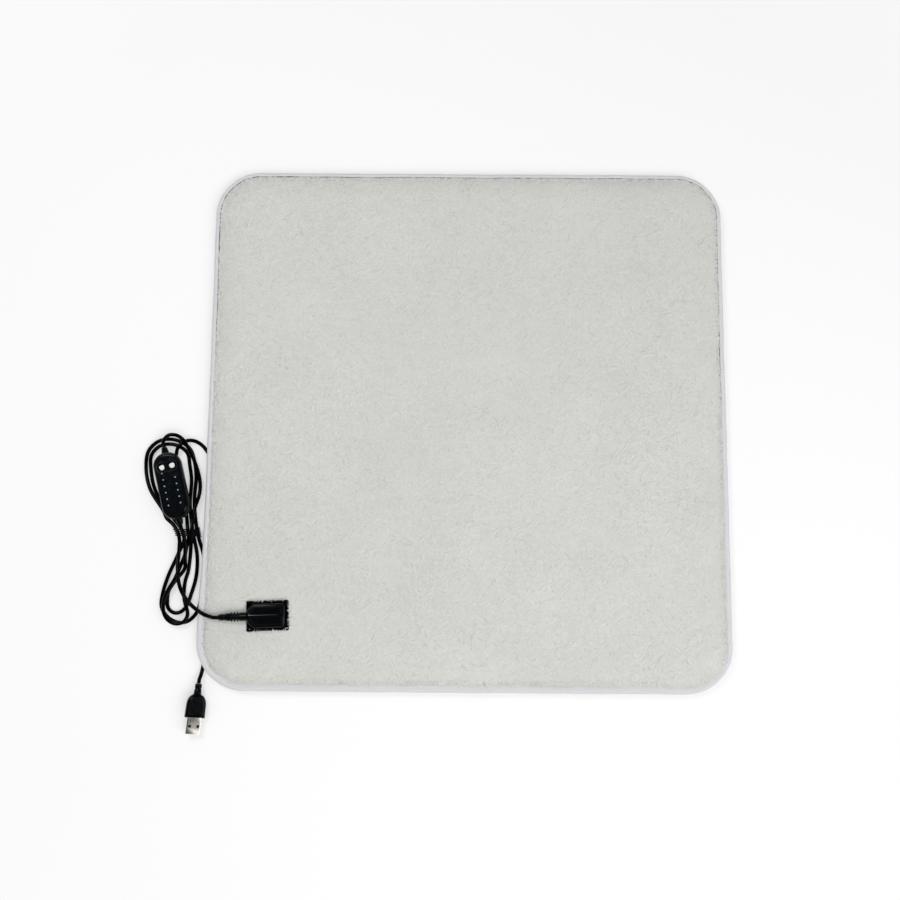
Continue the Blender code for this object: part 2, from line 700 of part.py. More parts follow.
def pin_mesh(name, side, width, extra):
    """A square-cut contact pin, stepped inside the block so that its tail leaves low down."""
    tip, stand, tail = pin_path(extra)
    half = width / 2
    outline = [
        (tip, PIN_LEVEL - half), (stand - half, PIN_LEVEL - half), (stand - half, WIRE_LEVEL - half),
        (tail, WIRE_LEVEL - half), (tail, WIRE_LEVEL + half), (stand + half, WIRE_LEVEL + half),
        (stand + half, PIN_LEVEL + half), (tip, PIN_LEVEL + half),
    ]
    pin_y = side * PIN_SPACING / 2
    rings = [[(x, pin_y + shift, z) for x, z in outline] for shift in (-half, half)]
    return loft(name, rings)


def build_socket():
    """The tray with its terminal block, pins, clamping plate and screws."""
    outline = rounded_rectangle(TRAY_LENGTH, TRAY_WIDTH, TRAY_CORNER)
    tray = add_object(
        "socket_tray", plate("socket_tray", outline, TRAY_BOTTOM, TRAY_TOP, TRAY_WALL / 4),
        BLACK_PLASTIC, 0.35, frame=TRAY_FRAME,
    )
    half_width = TRAY_WIDTH / 2 - TRAY_WALL
    well_left = -TRAY_LENGTH / 2 + TRAY_WALL
    shelf, above = PLUSH_TOP - GAP, TRAY_TOP + CUT_OVERRUN
    back, front = -TRAY_LENGTH / 2 - CUT_OVERRUN, TRAY_LENGTH / 2 - TRAY_WALL / 2
    well_side = [
        (back, shelf), (well_left, shelf), (well_left, TRAY_INSIDE), (BLOCK_FACE, TRAY_INSIDE),
        (BLOCK_FACE, shelf), (front, shelf), (front, above), (back, above),
    ]
    well = loft("tray_well", [[(x, y, z) for x, z in well_side] for y in (-half_width, half_width)])
    boolean(tray, cutter(well, TRAY_FRAME))

    for index, side in enumerate((-1, 1), start=1):
        name = f"contact_pin_{index}"
        add_object(name, pin_mesh(name, side, PIN_DIAMETER, 0.0), BRASS, 0.3, 1.0, TRAY_FRAME)
        channel = pin_mesh(f"pin_channel_{index}", side, PIN_DIAMETER + 2 * GAP, GAP)
        boolean(tray, cutter(channel, TRAY_FRAME))

    plate_top = CARRIER_BOTTOM - GAP
    plate_outline = rounded_rectangle(
        TRAY_LENGTH + 2 * BACKPLATE_MARGIN, TRAY_WIDTH + 2 * BACKPLATE_MARGIN, BACKPLATE_CORNER
    )
    backplate = add_object(
        "socket_backplate", plate("socket_backplate", plate_outline, plate_top - BACKPLATE, plate_top),
        BLACK_PLASTIC, 0.5, frame=TRAY_FRAME,
    )
    screw_start = plate_top - BACKPLATE - GAP
    screw_end = TRAY_BOTTOM + TRAY_SCREW_BITE
    number = 1
    for sx in (-1, 1):
        for sy in (-1, 1):
            spot = Matrix.Translation(
                (sx * (TRAY_LENGTH / 2 - TRAY_SCREW_INSET), sy * (TRAY_WIDTH / 2 - TRAY_SCREW_INSET), 0)
            )
            seat = TRAY_FRAME @ spot @ Matrix.Rotation(-math.pi / 2, 4, "Y")
            name = f"socket_screw_{number}"
            add_object(
                name, screw_mesh(name, screw_start, screw_end, TRAY_SCREW_DIAMETER, TRAY_SCREW_HEAD,
                                 TRAY_SCREW_HEAD_HEIGHT),
                STEEL, 0.3, 1.0, seat,
            )
            bore = TRAY_SCREW_DIAMETER / 2 + GAP
            hole = turned(f"socket_screw_hole_{number}", [(screw_start, bore), (screw_end + GAP, bore)], 10)
            tool = cutter(hole, seat)
            boolean(tray, tool)
            boolean(backplate, tool)
            number += 1


def screw_mesh(name, start, end, shank, head, head_height):
    """A pan-head screw along X, its head below start and its shank up to end."""
    return turned(
        name,
        [(start - head_height, head * SCREW_CROWN_SHARE), (start - head_height / 2, head / 2), (start, head / 2),
         (start, shank / 2), (end - shank * SCREW_POINT_SHARE, shank / 2), (end, shank * SCREW_TIP_SHARE)],
        10,
    )


def boat_outline(inset=0.0):
    """The plug's outline: its corners cut off widely at the cord and narrowly at the nose."""
    half = PLUG_WIDTH / 2
    tail, nose, cut = PLUG_CHAMFER, PLUG_FRONT_CHAMFER, PLUG_FRONT_CHAMFER / 4
    outline = [
        (PLUG_NOSE - nose, half), (PLUG_TAIL + tail + cut, half), (PLUG_TAIL + tail - cut, half - cut),
        (PLUG_TAIL + cut, half - tail + cut), (PLUG_TAIL, half - tail - cut),
        (PLUG_TAIL, -half + tail + cut), (PLUG_TAIL + cut, -half + tail - cut),
        (PLUG_TAIL + tail - cut, -half + cut), (PLUG_TAIL + tail + cut, -half),
        (PLUG_NOSE - nose, -half), (PLUG_NOSE - cut, -half + nose - cut), (PLUG_NOSE, -half + nose + cut),
        (PLUG_NOSE, half - nose - cut), (PLUG_NOSE - cut, half - nose + cut),
    ]
    return inset_outline(outline, inset) if inset else outline


def build_plug():
    """The plug's two shells, its sleeves and the ribbed strain relief."""
    cover = add_object(
        "plug_cover", plate("plug_cover", boat_outline(), COVER_BOTTOM, COVER_TOP, PLUG_EDGE_ROUND),
        BLACK_PLASTIC, 0.3, frame=TRAY_FRAME,
    )
    recess_inset = PLUG_RIM_INSET + PLUG_RIM_WIDTH
    recess = plate(
        "cover_recess", boat_outline(recess_inset), COVER_TOP - PLUG_RECESS, COVER_TOP + CUT_OVERRUN
    )
    boolean(cover, cutter(recess, TRAY_FRAME))
    ridge_end = PLUG_TAIL + PLUG_RIDGE_LENGTH
    ridge_half = PLUG_RIDGE_WIDTH / 2
    ridge_outline = [(PLUG_TAIL + recess_inset / 2, -ridge_half)]
    for step in range(7):
        angle = -math.pi / 2 + math.pi * step / 6
        ridge_outline.append((ridge_end + ridge_half * math.cos(angle), ridge_half * math.sin(angle)))
    ridge_outline.append((PLUG_TAIL + recess_inset / 2, ridge_half))
    ridge = plate(
        "cover_ridge", ridge_outline, COVER_BOTTOM + PLUG_COVER / 2, COVER_TOP, PLUG_EDGE_ROUND / 2
    )
    boolean(cover, cutter(ridge, TRAY_FRAME), "UNION")

    base = add_object(
        "plug_base", plate("plug_base", boat_outline(), FLANGE_BOTTOM, FLANGE_TOP),
        BLACK_PLASTIC, 0.3, frame=TRAY_FRAME,
    )
    keel_half = PLUG_KEEL_WIDTH / 2
    keel = box_mesh(
        "plug_keel", (KEEL_TAIL, -keel_half, KEEL_BOTTOM),
        (KEEL_NOSE, keel_half, FLANGE_BOTTOM + PLUG_FLANGE / 2),
    )
    boolean(base, cutter(keel, TRAY_FRAME), "UNION")
    for index, side in enumerate((-1, 1), start=1):
        seat = TRAY_FRAME @ Matrix.Translation((KEEL_NOSE, side * PIN_SPACING / 2, PIN_LEVEL))
        bore_radius = CONTACT_DIAMETER / 2 + GAP
        bore = turned(
            f"keel_bore_{index}", [(-CONTACT_LENGTH - 2 * GAP, bore_radius), (CUT_OVERRUN, bore_radius)], 16
        )
        boolean(base, cutter(bore, seat))
        name = f"plug_contact_{index}"
        sleeve = add_object(
            name,
            turned(name, [(-CONTACT_LENGTH - GAP, CONTACT_DIAMETER / 2), (-GAP, CONTACT_DIAMETER / 2)], 16),
            BRASS, 0.3, 1.0, seat,
        )
        sleeve_bore = turned(
            f"contact_bore_{index}",
            [(-CONTACT_LENGTH + GAP, CONTACT_BORE / 2), (CUT_OVERRUN, CONTACT_BORE / 2)], 16,
        )
        boolean(sleeve, cutter(sleeve_bore, seat))

    boot = ribbed_boot(
        "plug_boot", PLUG_BOOT_LENGTH, PLUG_BOOT_BASE, PLUG_BOOT_TIP, PLUG_BOOT_RIB, 3, 0.28
    )
    seat = TRAY_FRAME @ Matrix.Translation((BOOT_START, 0, BOOT_LEVEL)) @ Matrix.Rotation(math.pi, 4, "Z")
    add_object("plug_boot", boot, BLACK_RUBBER, 0.45, frame=seat)


def ribbed_boot(name, length, base, tip, rib, ribs, rib_share):
    """A strain relief along +X: a plain neck, ribs between grooves, then a slotted taper."""
    profile = [(0.0, base / 2), (length * rib_share - BOOT_RIB_WIDTH / 2, base / 2)]
    along = length * rib_share
    core = base / 2 - PLUG_BOOT_GROOVE
    for _ in range(ribs):
        profile += [(along, rib / 2), (along + BOOT_RIB_WIDTH, rib / 2)]
        profile += [(along + BOOT_RIB_WIDTH + GAP, core), (along + BOOT_RIB_SPACING - GAP, core)]
        along += BOOT_RIB_SPACING
    taper_start = (base * 0.97) / 2
    rest = length - along
    profile.append((along, taper_start))
    slots = int(rest / (2 * BOOT_RIB_SPACING))
    for slot in range(slots):
        share = (slot + 0.5) / slots
        radius = taper_start + (tip / 2 - taper_start) * share
        spot = along + rest * share
        depth = PLUG_BOOT_GROOVE / 2
        profile += [(spot - BOOT_RIB_WIDTH / 2, radius), (spot - GAP, radius - depth)]
        profile += [(spot + GAP, radius - depth), (spot + BOOT_RIB_WIDTH / 2, radius)]
    profile += [(length - GAP, tip / 2), (length, tip / 2 - GAP)]
    return turned(name, profile, 18)


# Lobes of the hank: the tip's place from the waist, the bend of the middle line, half width and
# the share of the length at which the loop is widest; upper and lower lobes of each turn
CORD_RADIUS = CORD_DIAMETER / 2
LAYER_STEP = 0.0037
UPPER_TIPS = ((-0.2590, -0.0136), (-0.2585, -0.0180))
UPPER_BENDS = ((-0.2605, -0.0494), (-0.2600, -0.0510))
UPPER_HALVES = ((0.0212, 0.0210), (0.0164, 0.0160))
UPPER_FULL_SHARES = ((0.60, 0.60), (0.60, 0.60))
UPPER_ROUND_SHARES = ((0.73, 0.73), (0.79, 0.79))
LOWER_TIPS = ((-0.2450, -0.1716), (-0.2502, -0.1630))
LOWER_BENDS = ((-0.2370, -0.1330), (-0.2362, -0.1330))
LOWER_HALVES = ((0.0148, 0.0184), (0.0088, 0.0090))
LOWER_FULL_SHARES = ((0.42, 0.74), (0.44, 0.74))
LOWER_ROUND_SHARES = ((0.76, 0.79), (0.84, 0.85))
WAIST_PLACES = (-0.0078, 0.0061, -0.0059, 0.0023)
WAIST_BACK = -0.0059
START_RISE = 0.0034
START_RISE_SHARE = 0.62
LAST_SHARE = 0.80


def waist_rise(y):
    """How far the tie under the bundle lifts a strand."""
    rise = TIE_DIAMETER + 5 * GAP
    return rise * math.exp(-(((y - WAIST_Y) / WAIST_RISE_LENGTH) ** 2))


def lobe_point(tip, bend, share, offset):
    """A point beside the lobe's middle line, which bends from the waist to the tip."""
    start, bend, tip = Vector((WAIST_X, WAIST_Y)), Vector(bend), Vector(tip)
    place = start * (1 - share) ** 2 + bend * 2 * share * (1 - share) + tip * share**2
    heading = ((bend - start) * 2 * (1 - share) + (tip - bend) * 2 * share).normalized()
    side = Vector((heading.y, -heading.x)) if tip.y > start.y else Vector((-heading.y, heading.x))
    return place + side * offset


def lobe_offset(share, waist, half, full, turn, length):
    """Distance of the strand from the middle line: drawn in at the waist, round at the tip."""
    if share > turn:
        return half * math.sqrt(max(0.0, 1 - ((share - turn) / (1 - turn)) ** 2))
    flat = WAIST_FLAT / length
    eased = min(1.0, max(0.0, share - flat) / (full - flat))
    return waist + (half - waist) * math.sin(math.pi / 2 * eased) ** LOBE_EASE


def hank_points():
    """The hank's loops: up the left, over the top, down through the waist and round below."""
    lobes = (
        (UPPER_TIPS, UPPER_BENDS, UPPER_HALVES, UPPER_FULL_SHARES, UPPER_ROUND_SHARES),
        (LOWER_TIPS, LOWER_BENDS, LOWER_HALVES, LOWER_FULL_SHARES, LOWER_ROUND_SHARES),
    )
    points = []
    quarter = LOOP_POINTS // 4
    for turn in range(2):
        for lobe, (tips, bends, halves, fulls, rounds) in enumerate(lobes):
            tip, bend = tips[turn], bends[turn]
            length = abs(tip[1] - WAIST_Y)
            going, coming = (-1, 1) if lobe == 0 else (1, -1)
            waists = [abs(place) for place in (*WAIST_PLACES, WAIST_BACK)]
            first = 2 * turn + lobe
            for step in range(2 * quarter):
                share = math.sin(math.pi * step / (2 * quarter))
                rising = step <= quarter
                last = turn == 1 and lobe == 1
                if last and not rising and share < LAST_SHARE:
                    return points
                if first == 0 and step == 0:
                    continue
                part = 0 if rising else 1
                side = going if rising else coming
                if lobe == 0:
                    waist = waists[2 * turn] if rising else waists[2 * turn + 1]
                else:
                    waist = waists[2 * turn + 1] if rising else abs(WAIST_BACK)
                offset = lobe_offset(
                    share, waist, halves[turn][part], fulls[turn][part], rounds[turn][part], length
                )
                place = lobe_point(tip, bend, share, side * offset)
                level = CORD_RADIUS
                if first == 0 and rising and share < START_RISE_SHARE:
                    level += START_RISE * math.cos(math.pi / 2 * share / START_RISE_SHARE) ** 0.7
                points.append(Vector((place.x, place.y, level + waist_rise(place.y))))
    return points


# Hand-laid stretches of the cord, as (x, y, z) points
PLUG_CORD_ROUTE = (
    (-0.2136, -0.1668, 0.01540), (-0.2204, -0.1648, 0.01284), (-0.2269, -0.1612, 0.01123),
    (-0.2327, -0.1569, 0.00889), (-0.2379, -0.1515, 0.00788), (-0.2421, -0.1452, 0.00700),
    (-0.2445, -0.1381, 0.00764), (-0.2453, -0.1307, 0.00939), (-0.2461, -0.1234, 0.00776),
    (-0.2460, -0.1159, 0.00642), (-0.2456, -0.1083, 0.00652), (-0.2457, -0.1008, 0.00543),
    (-0.2480, -0.0936, 0.00469), (-0.2526, -0.0876, 0.00505), (-0.2582, -0.0827, 0.00451),
)
CONTROLLER_CORD_ROUTE = (
    (-0.2544, -0.1454, 0.00165), (-0.2505, -0.1384, 0.00165), (-0.2455, -0.1320, 0.00165),
    (-0.2410, -0.1255, 0.00282), (-0.2406, -0.1180, 0.00534), (-0.2406, -0.1100, 0.00607),
    (-0.2412, -0.1021, 0.00723), (-0.2429, -0.0945, 0.00907),
)
USB_CORD_ROUTE = (
    (-0.2629, -0.0167, 0.00884), (-0.2592, -0.0111, 0.00729), (-0.2519, -0.0111, 0.00756),
    (-0.2459, -0.0150, 0.00923), (-0.2420, -0.0210, 0.00738), (-0.2386, -0.0275, 0.00600),
    (-0.2355, -0.0343, 0.00576), (-0.2330, -0.0413, 0.00506), (-0.2312, -0.0485, 0.00394),
    (-0.2306, -0.0559, 0.00299), (-0.2312, -0.0633, 0.00358), (-0.2328, -0.0704, 0.00559),
    (-0.2345, -0.0775, 0.00677), (-0.2352, -0.0849, 0.00657), (-0.2351, -0.0924, 0.00591),
    (-0.2352, -0.0998, 0.00578), (-0.2359, -0.1069, 0.00516), (-0.2367, -0.1138, 0.00293),
    (-0.2375, -0.1212, 0.00172), (-0.2383, -0.1285, 0.00165), (-0.2403, -0.1357, 0.00165),
    (-0.2411, -0.1432, 0.00187), (-0.2405, -0.1504, 0.00350), (-0.2383, -0.1571, 0.00584),
    (-0.2364, -0.1643, 0.00529), (-0.2392, -0.1708, 0.00590), (-0.2463, -0.1726, 0.00567),
    (-0.2529, -0.1695, 0.00562), (-0.2567, -0.1632, 0.00592), (-0.2574, -0.1558, 0.00544),
    (-0.2557, -0.1485, 0.00585), (-0.2524, -0.1418, 0.00592), (-0.2487, -0.1353, 0.00590),
    (-0.2461, -0.1283, 0.00497), (-0.2443, -0.1217, 0.00213), (-0.2419, -0.1147, 0.00165),
    (-0.2404, -0.1074, 0.00166), (-0.2387, -0.1002, 0.00165), (-0.2396, -0.0930, 0.00163),
    (-0.2408, -0.0858, 0.00166), (-0.2421, -0.0785, 0.00165), (-0.2442, -0.0713, 0.00165),
    (-0.2461, -0.0641, 0.00165), (-0.2480, -0.0568, 0.00165), (-0.2498, -0.0495, 0.00165),
    (-0.2514, -0.0422, 0.00165), (-0.2526, -0.0348, 0.00177), (-0.2526, -0.0275, 0.00303),
    (-0.2504, -0.0210, 0.00582), (-0.2451, -0.0160, 0.00501), (-0.2382, -0.0150, 0.00260),
    (-0.2316, -0.0182, 0.00166), (-0.2265, -0.0237, 0.00165), (-0.2227, -0.0301, 0.00165),
    (-0.2205, -0.0372, 0.00165), (-0.2197, -0.0447, 0.00165), (-0.2195, -0.0522, 0.00165),
    (-0.2195, -0.0597, 0.00165), (-0.2195, -0.0672, 0.00165), (-0.2195, -0.0747, 0.00165),
    (-0.2195, -0.0821, 0.00166), (-0.2195, -0.0896, 0.00053), (-0.2195, -0.0971, -0.00019),
    (-0.2195, -0.1046, 0.00143), (-0.2195, -0.1121, 0.00165), (-0.2195, -0.1196, 0.00165),
    (-0.2195, -0.1270, 0.00165), (-0.2195, -0.1345, 0.00165), (-0.2196, -0.1420, 0.00165),
    (-0.2196, -0.1495, 0.00165), (-0.2197, -0.1570, 0.00165), (-0.2197, -0.1645, 0.00165),
    (-0.2198, -0.1720, 0.00165), (-0.2201, -0.1795, 0.00165), (-0.2204, -0.1870, 0.00165),
    (-0.2209, -0.1945, 0.00165), (-0.2215, -0.2019, 0.00165), (-0.2224, -0.2093, 0.00219),
    (-0.2236, -0.2164, 0.00429),
)


def lifted(route):
    """A hand-laid route, raised where the tie passes beneath it."""
    return [Vector((x, y, z + waist_rise(y))) for x, y, z in route]


def least_gap(points, radius):
    """The least clear distance of a tube to itself, away from its own neighbouring points."""
    fine = []
    for first, second in zip(points, points[1:]):
        for step in range(3):
            fine.append(first.lerp(second, step / 3))
    lengths = [0.0]
    for first, second in zip(fine, fine[1:]):
        lengths.append(lengths[-1] + (second - first).length)
    least = None
    for i, here in enumerate(fine):
        for j in range(i + 1, len(fine)):
            if lengths[j] - lengths[i] < math.pi * 2 * radius:
                continue
            distance = (fine[j] - here).length - 2 * radius
            if least is None or distance < least:
                least = distance
    return least


def case_end(side, reach):
    """A point on the controller's middle line past one of its ends."""
    return CASE_FRAME @ Vector((0, side * (CASE_LENGTH / 2 + reach), 0))


def build_cords():
    """The hank and the hand-laid stretches between plug, controller and USB plug; their points."""
    hank = hank_points()
    start_heading = (hank[1] - hank[0]).normalized()
    end_heading = (hank[-1] - hank[-2]).normalized()
    tube("cord_hank", hank, CORD_DIAMETER, 1, BLACK_RUBBER)
    print("cord_hank least gap to itself, mm:", round(least_gap(hank, CORD_RADIUS) * 1000, 2))

    boot_tip = TRAY_FRAME @ Vector((BOOT_END - GAP, 0, BOOT_LEVEL))
    boot_lead = TRAY_FRAME @ Vector((BOOT_END - GAP - CORD_DIAMETER, 0, BOOT_LEVEL))
    plug_route = [
        boot_tip, boot_lead, *lifted(PLUG_CORD_ROUTE),
        hank[0] - start_heading * (GAP + CORD_DIAMETER), hank[0] - start_heading * GAP,
    ]
    tube("plug_cord", smooth_route(plug_route, CORD_SPACING), CORD_DIAMETER, 2, BLACK_RUBBER)

    boot_reach = GAP + CASE_BOOT_LENGTH + GAP
    controller_route = [
        hank[-1] + end_heading * GAP, hank[-1] + end_heading * (GAP + CORD_DIAMETER),
        *[Vector(point) for point in CONTROLLER_CORD_ROUTE],
        case_end(-1, boot_reach + CORD_DIAMETER), case_end(-1, boot_reach),
    ]
    tube("controller_cord", smooth_route(controller_route, CORD_SPACING), CORD_DIAMETER, 2, BLACK_RUBBER)

    usb_tip = USB_FRAME @ Vector((0, GAP, 0))
    usb_lead = USB_FRAME @ Vector((0, GAP + CORD_DIAMETER, 0))
    usb_route = [
        case_end(1, boot_reach), case_end(1, boot_reach + CORD_DIAMETER),
        *lifted(USB_CORD_ROUTE), usb_lead, usb_tip,
    ]
    tube("usb_cord", smooth_route(usb_route, CORD_SPACING), CORD_DIAMETER, 2, BLACK_RUBBER)
    return [hank] + [smooth_route(route, CORD_SPACING) for route in (plug_route, controller_route, usb_route)]


def tied_places(cords):
    """Places (x, z) of every strand that runs through the tie."""
    half = TIE_TURNS * TIE_PITCH / 2 + CORD_RADIUS
    places = []
    for points in cords:
        for first, second in zip(points, points[1:]):
            for step in range(8):
                spot = first.lerp(second, step / 8)
                if abs(spot.y - WAIST_Y) < half and abs(spot.x - WAIST_X) < TIE_REACH:
                    places.append(Vector((spot.x, spot.z)))
    return places


def build_tie(cords):
    """A thin tie wound tightly round the bundle, with one short tail."""
    reach = CORD_RADIUS * TIE_SLANT_SHARE + GAP + TIE_DIAMETER / 2
    places = tied_places(cords)
    points = []
    for step in range(TIE_TURNS * TIE_POINTS + 1):
        angle = 2 * math.pi * step / TIE_POINTS
        outward = Vector((math.cos(angle), math.sin(angle)))
        spot = max(places, key=lambda place: place.dot(outward)) + outward * reach
        along = WAIST_Y + TIE_PITCH * (step / TIE_POINTS - TIE_TURNS / 2)
        points.append(Vector((spot.x, along, spot.y)))
    tail = points[-1] + Vector((TIE_TAIL * 0.1, TIE_PITCH * 0.5, TIE_TAIL))
    tube("cable_tie", [*points, tail], TIE_DIAMETER, 1, BLACK_PLASTIC)


def case_outline(inset=0.0):
    """The controller's long oval outline, along Y."""
    return rounded_rectangle(
        CASE_WIDTH - 2 * inset, CASE_LENGTH - 2 * inset, max(CASE_CORNER - inset, CASE_ROUND), 6
    )


def case_shell(name, sign):
    """One half of the case, its outer edge rounded over, from the parting line outwards."""
    split = GAP / 2
    levels = [(0.0, split), (0.0, CASE_HEIGHT / 2 - CASE_ROUND)]
    for step in range(1, 5):
        angle = math.pi / 2 * step / 4
        levels.append((CASE_ROUND * (1 - math.cos(angle)), CASE_HEIGHT / 2 - CASE_ROUND * (1 - math.sin(angle))))
    rings = [[(x, y, sign * level) for x, y in case_outline(inset)] for inset, level in levels]
    shell = add_object(name, loft(name, rings), BLACK_PLASTIC, 0.25, frame=CASE_FRAME)
    floor = CASE_HEIGHT / 2 - CASE_WALL
    hollow = plate(
        name + "_hollow", case_outline(CASE_WALL), min(-CUT_OVERRUN * sign, floor * sign),
        max(-CUT_OVERRUN * sign, floor * sign),
    )
    boolean(shell, cutter(hollow, CASE_FRAME))
    return shell


def button_seat(side):
    """The frame of one push button, at the top of the panel."""
    return CASE_FRAME @ Matrix.Translation((side * BUTTON_SPACING / 2, BUTTON_PLACE, 0))


def led_places():
    """Places of the indicator lenses in two columns below the buttons."""
    places = []
    for column, (side, rows) in enumerate(((-1, LEFT_LEDS), (1, RIGHT_LEDS))):
        for row in range(rows):
            y = LED_FIRST_ROW - (row + column) * LED_ROW_PITCH
            places.append((side * LED_COLUMN_SPACING / 2, y))
    return places


def build_controller():
    """The hand controller: two shells, panel, buttons, board, switches, lenses and boots."""
    top = case_shell("controller_top_case", 1)
    bottom = case_shell("controller_bottom_case", -1)
    face = CASE_HEIGHT / 2
    panel_bottom = face - PANEL_SEAT
    panel_top = panel_bottom + PANEL_THICKNESS
    seat = plate(
        "panel_seat", case_outline(PANEL_MARGIN - GAP), panel_bottom - GAP, face + CUT_OVERRUN
    )
    boolean(top, cutter(seat, CASE_FRAME))
    panel = add_object(
        "controller_panel", plate("controller_panel", case_outline(PANEL_MARGIN), panel_bottom, panel_top,
                                  PANEL_THICKNESS / 3),
        BLACK_PLASTIC, 0.15, frame=CASE_FRAME,
    )

    board_top = 0.0
    board_bottom = board_top - BOARD_THICKNESS
    board = add_object(
        "controller_board", plate("controller_board", case_outline(CASE_WALL + BOARD_MARGIN),
                                  board_bottom, board_top),
        BOARD_GREEN, 0.4, frame=CASE_FRAME,
    )

    button_bottom = panel_bottom - PANEL_SEAT - CASE_WALL / 2
    button_top = panel_top + BUTTON_RISE
    for side, label in ((-1, "left"), (1, "right")):
        frame = button_seat(side)
        bezel_size = BUTTON_SIZE + 2 * GAP + 2 * BEZEL_WIDTH
        bezel = plate(
            f"bezel_{label}", rounded_rectangle(bezel_size, bezel_size, BUTTON_CORNER + BEZEL_WIDTH),
            panel_bottom + PANEL_THICKNESS / 2, panel_top + BEZEL_RISE, BEZEL_RISE / 2,
        )
        boolean(panel, cutter(bezel, frame), "UNION")
        hole_size = BUTTON_SIZE + 2 * GAP
        hole = plate(
            f"button_hole_{label}", rounded_rectangle(hole_size, hole_size, BUTTON_CORNER + GAP),
            button_bottom - CASE_WALL, panel_top + CUT_OVERRUN,
        )
        tool = cutter(hole, frame)
        boolean(panel, tool)
        boolean(top, tool)
        outline = rounded_rectangle(BUTTON_SIZE, BUTTON_SIZE, BUTTON_CORNER)
        levels = [(0.0, button_bottom), (0.0, button_top - BUTTON_RISE * 0.9)]
        for step in range(1, 4):
            angle = math.pi / 2 * step / 3
            levels.append(
                (BUTTON_CORNER * 0.8 * (1 - math.cos(angle)), button_top - BUTTON_RISE * 0.9 * (1 - math.sin(angle)))
            )
        rings = []
        for inset, level in levels:
            shrunk = inset_outline(outline, inset) if inset else outline
            rings.append([(x, y, level) for x, y in shrunk])
        add_object(f"button_{label}", loft(f"button_{label}", rings, 60.0), BLACK_PLASTIC, 0.08, frame=frame)

        switch_top = button_bottom - GAP - BUTTON_TRAVEL
        stem_bottom = switch_top - BUTTON_SKIRT
        half = SWITCH_SIZE / 2
        switch = add_object(
            f"tact_switch_{label}", box_mesh(f"tact_switch_{label}", (-half, -half, board_top + GAP),
                                             (half, half, stem_bottom)),
            STEEL, 0.4, frame=frame,
        )
        stem_radius = SWITCH_STEM / 2
        stem = turned(f"switch_stem_{label}", [(stem_bottom - GAP, stem_radius), (switch_top, stem_radius)], 12)
        boolean(switch, cutter(stem, frame @ Matrix.Rotation(-math.pi / 2, 4, "Y")), "UNION")

    lens_top = panel_top + GAP
    lens_bottom = board_top + GAP
    for index, (x, y) in enumerate(led_places(), start=1):
        frame = CASE_FRAME @ Matrix.Translation((x, y, 0)) @ Matrix.Rotation(-math.pi / 2, 4, "Y")
        name = f"indicator_lens_{index:02d}"
        radius = LED_DIAMETER / 2
        add_object(
            name, turned(name, [(lens_bottom, radius), (lens_top - GAP, radius), (lens_top, radius - GAP)], 10),
            SMOKED_LENS, 0.2, frame=frame,
        )
        hole = turned(
            f"lens_hole_{index:02d}",
            [(lens_bottom, radius + GAP), (panel_top + CUT_OVERRUN, radius + GAP)], 10,
        )
        tool = cutter(hole, frame)
        boolean(panel, tool)
        boolean(top, tool)

    for side, label in ((1, "top"), (-1, "bottom")):
        boot = ribbed_boot(
            f"controller_boot_{label}", CASE_BOOT_LENGTH, CASE_BOOT_TIP, CASE_BOOT_TIP, CASE_BOOT_BASE, 1, 0.2
        )
        frame = CASE_FRAME @ Matrix.Translation((0, side * (CASE_LENGTH / 2 + GAP), 0))
        turn = Matrix.Rotation(side * math.pi / 2, 4, "Z")
        add_object(f"controller_boot_{label}", boot, BLACK_RUBBER, 0.45, frame=frame @ turn)

    screw_seat = -CASE_HEIGHT / 2 + CASE_WALL
    for index, side in enumerate((-1, 1), start=1):
        frame = CASE_FRAME @ Matrix.Translation((0, side * CASE_SCREW_PLACE, 0))
        frame = frame @ Matrix.Rotation(-math.pi / 2, 4, "Y")
        head_low = -CASE_HEIGHT / 2 + GAP
        boss_end = board_bottom - GAP
        post_radius = CASE_SCREW_HEAD / 2 + CASE_WALL / 2
        post = turned(
            f"case_post_{index}", [(screw_seat - GAP, post_radius), (boss_end, post_radius)], 14
        )
        boolean(bottom, cutter(post, frame), "UNION")
        name = f"case_screw_{index}"
        head_height = CASE_WALL - GAP
        add_object(
            name, screw_mesh(name, head_low + head_height, board_top + CASE_SCREW_BITE, CASE_SCREW_DIAMETER,
                             CASE_SCREW_HEAD, head_height),
            STEEL, 0.3, 1.0, frame,
        )
        bore = CASE_SCREW_DIAMETER / 2 + GAP
        head_bore = CASE_SCREW_HEAD / 2 + GAP
        counterbore_top = head_low + head_height + GAP
        hole = turned(
            f"case_screw_hole_{index}",
            [(-CASE_HEIGHT, head_bore), (counterbore_top, head_bore), (counterbore_top, bore),
             (board_top + CASE_SCREW_BITE + GAP, bore)], 14,
        )
        tool = cutter(hole, frame)
        boolean(bottom, tool)
        boolean(board, tool)


def usb_section(along, width, height, corner):
    """A rounded cross-section of the USB plug at a place along it."""
    return [(x, -along, z) for x, z in rounded_rectangle(width, height, corner, 3)]


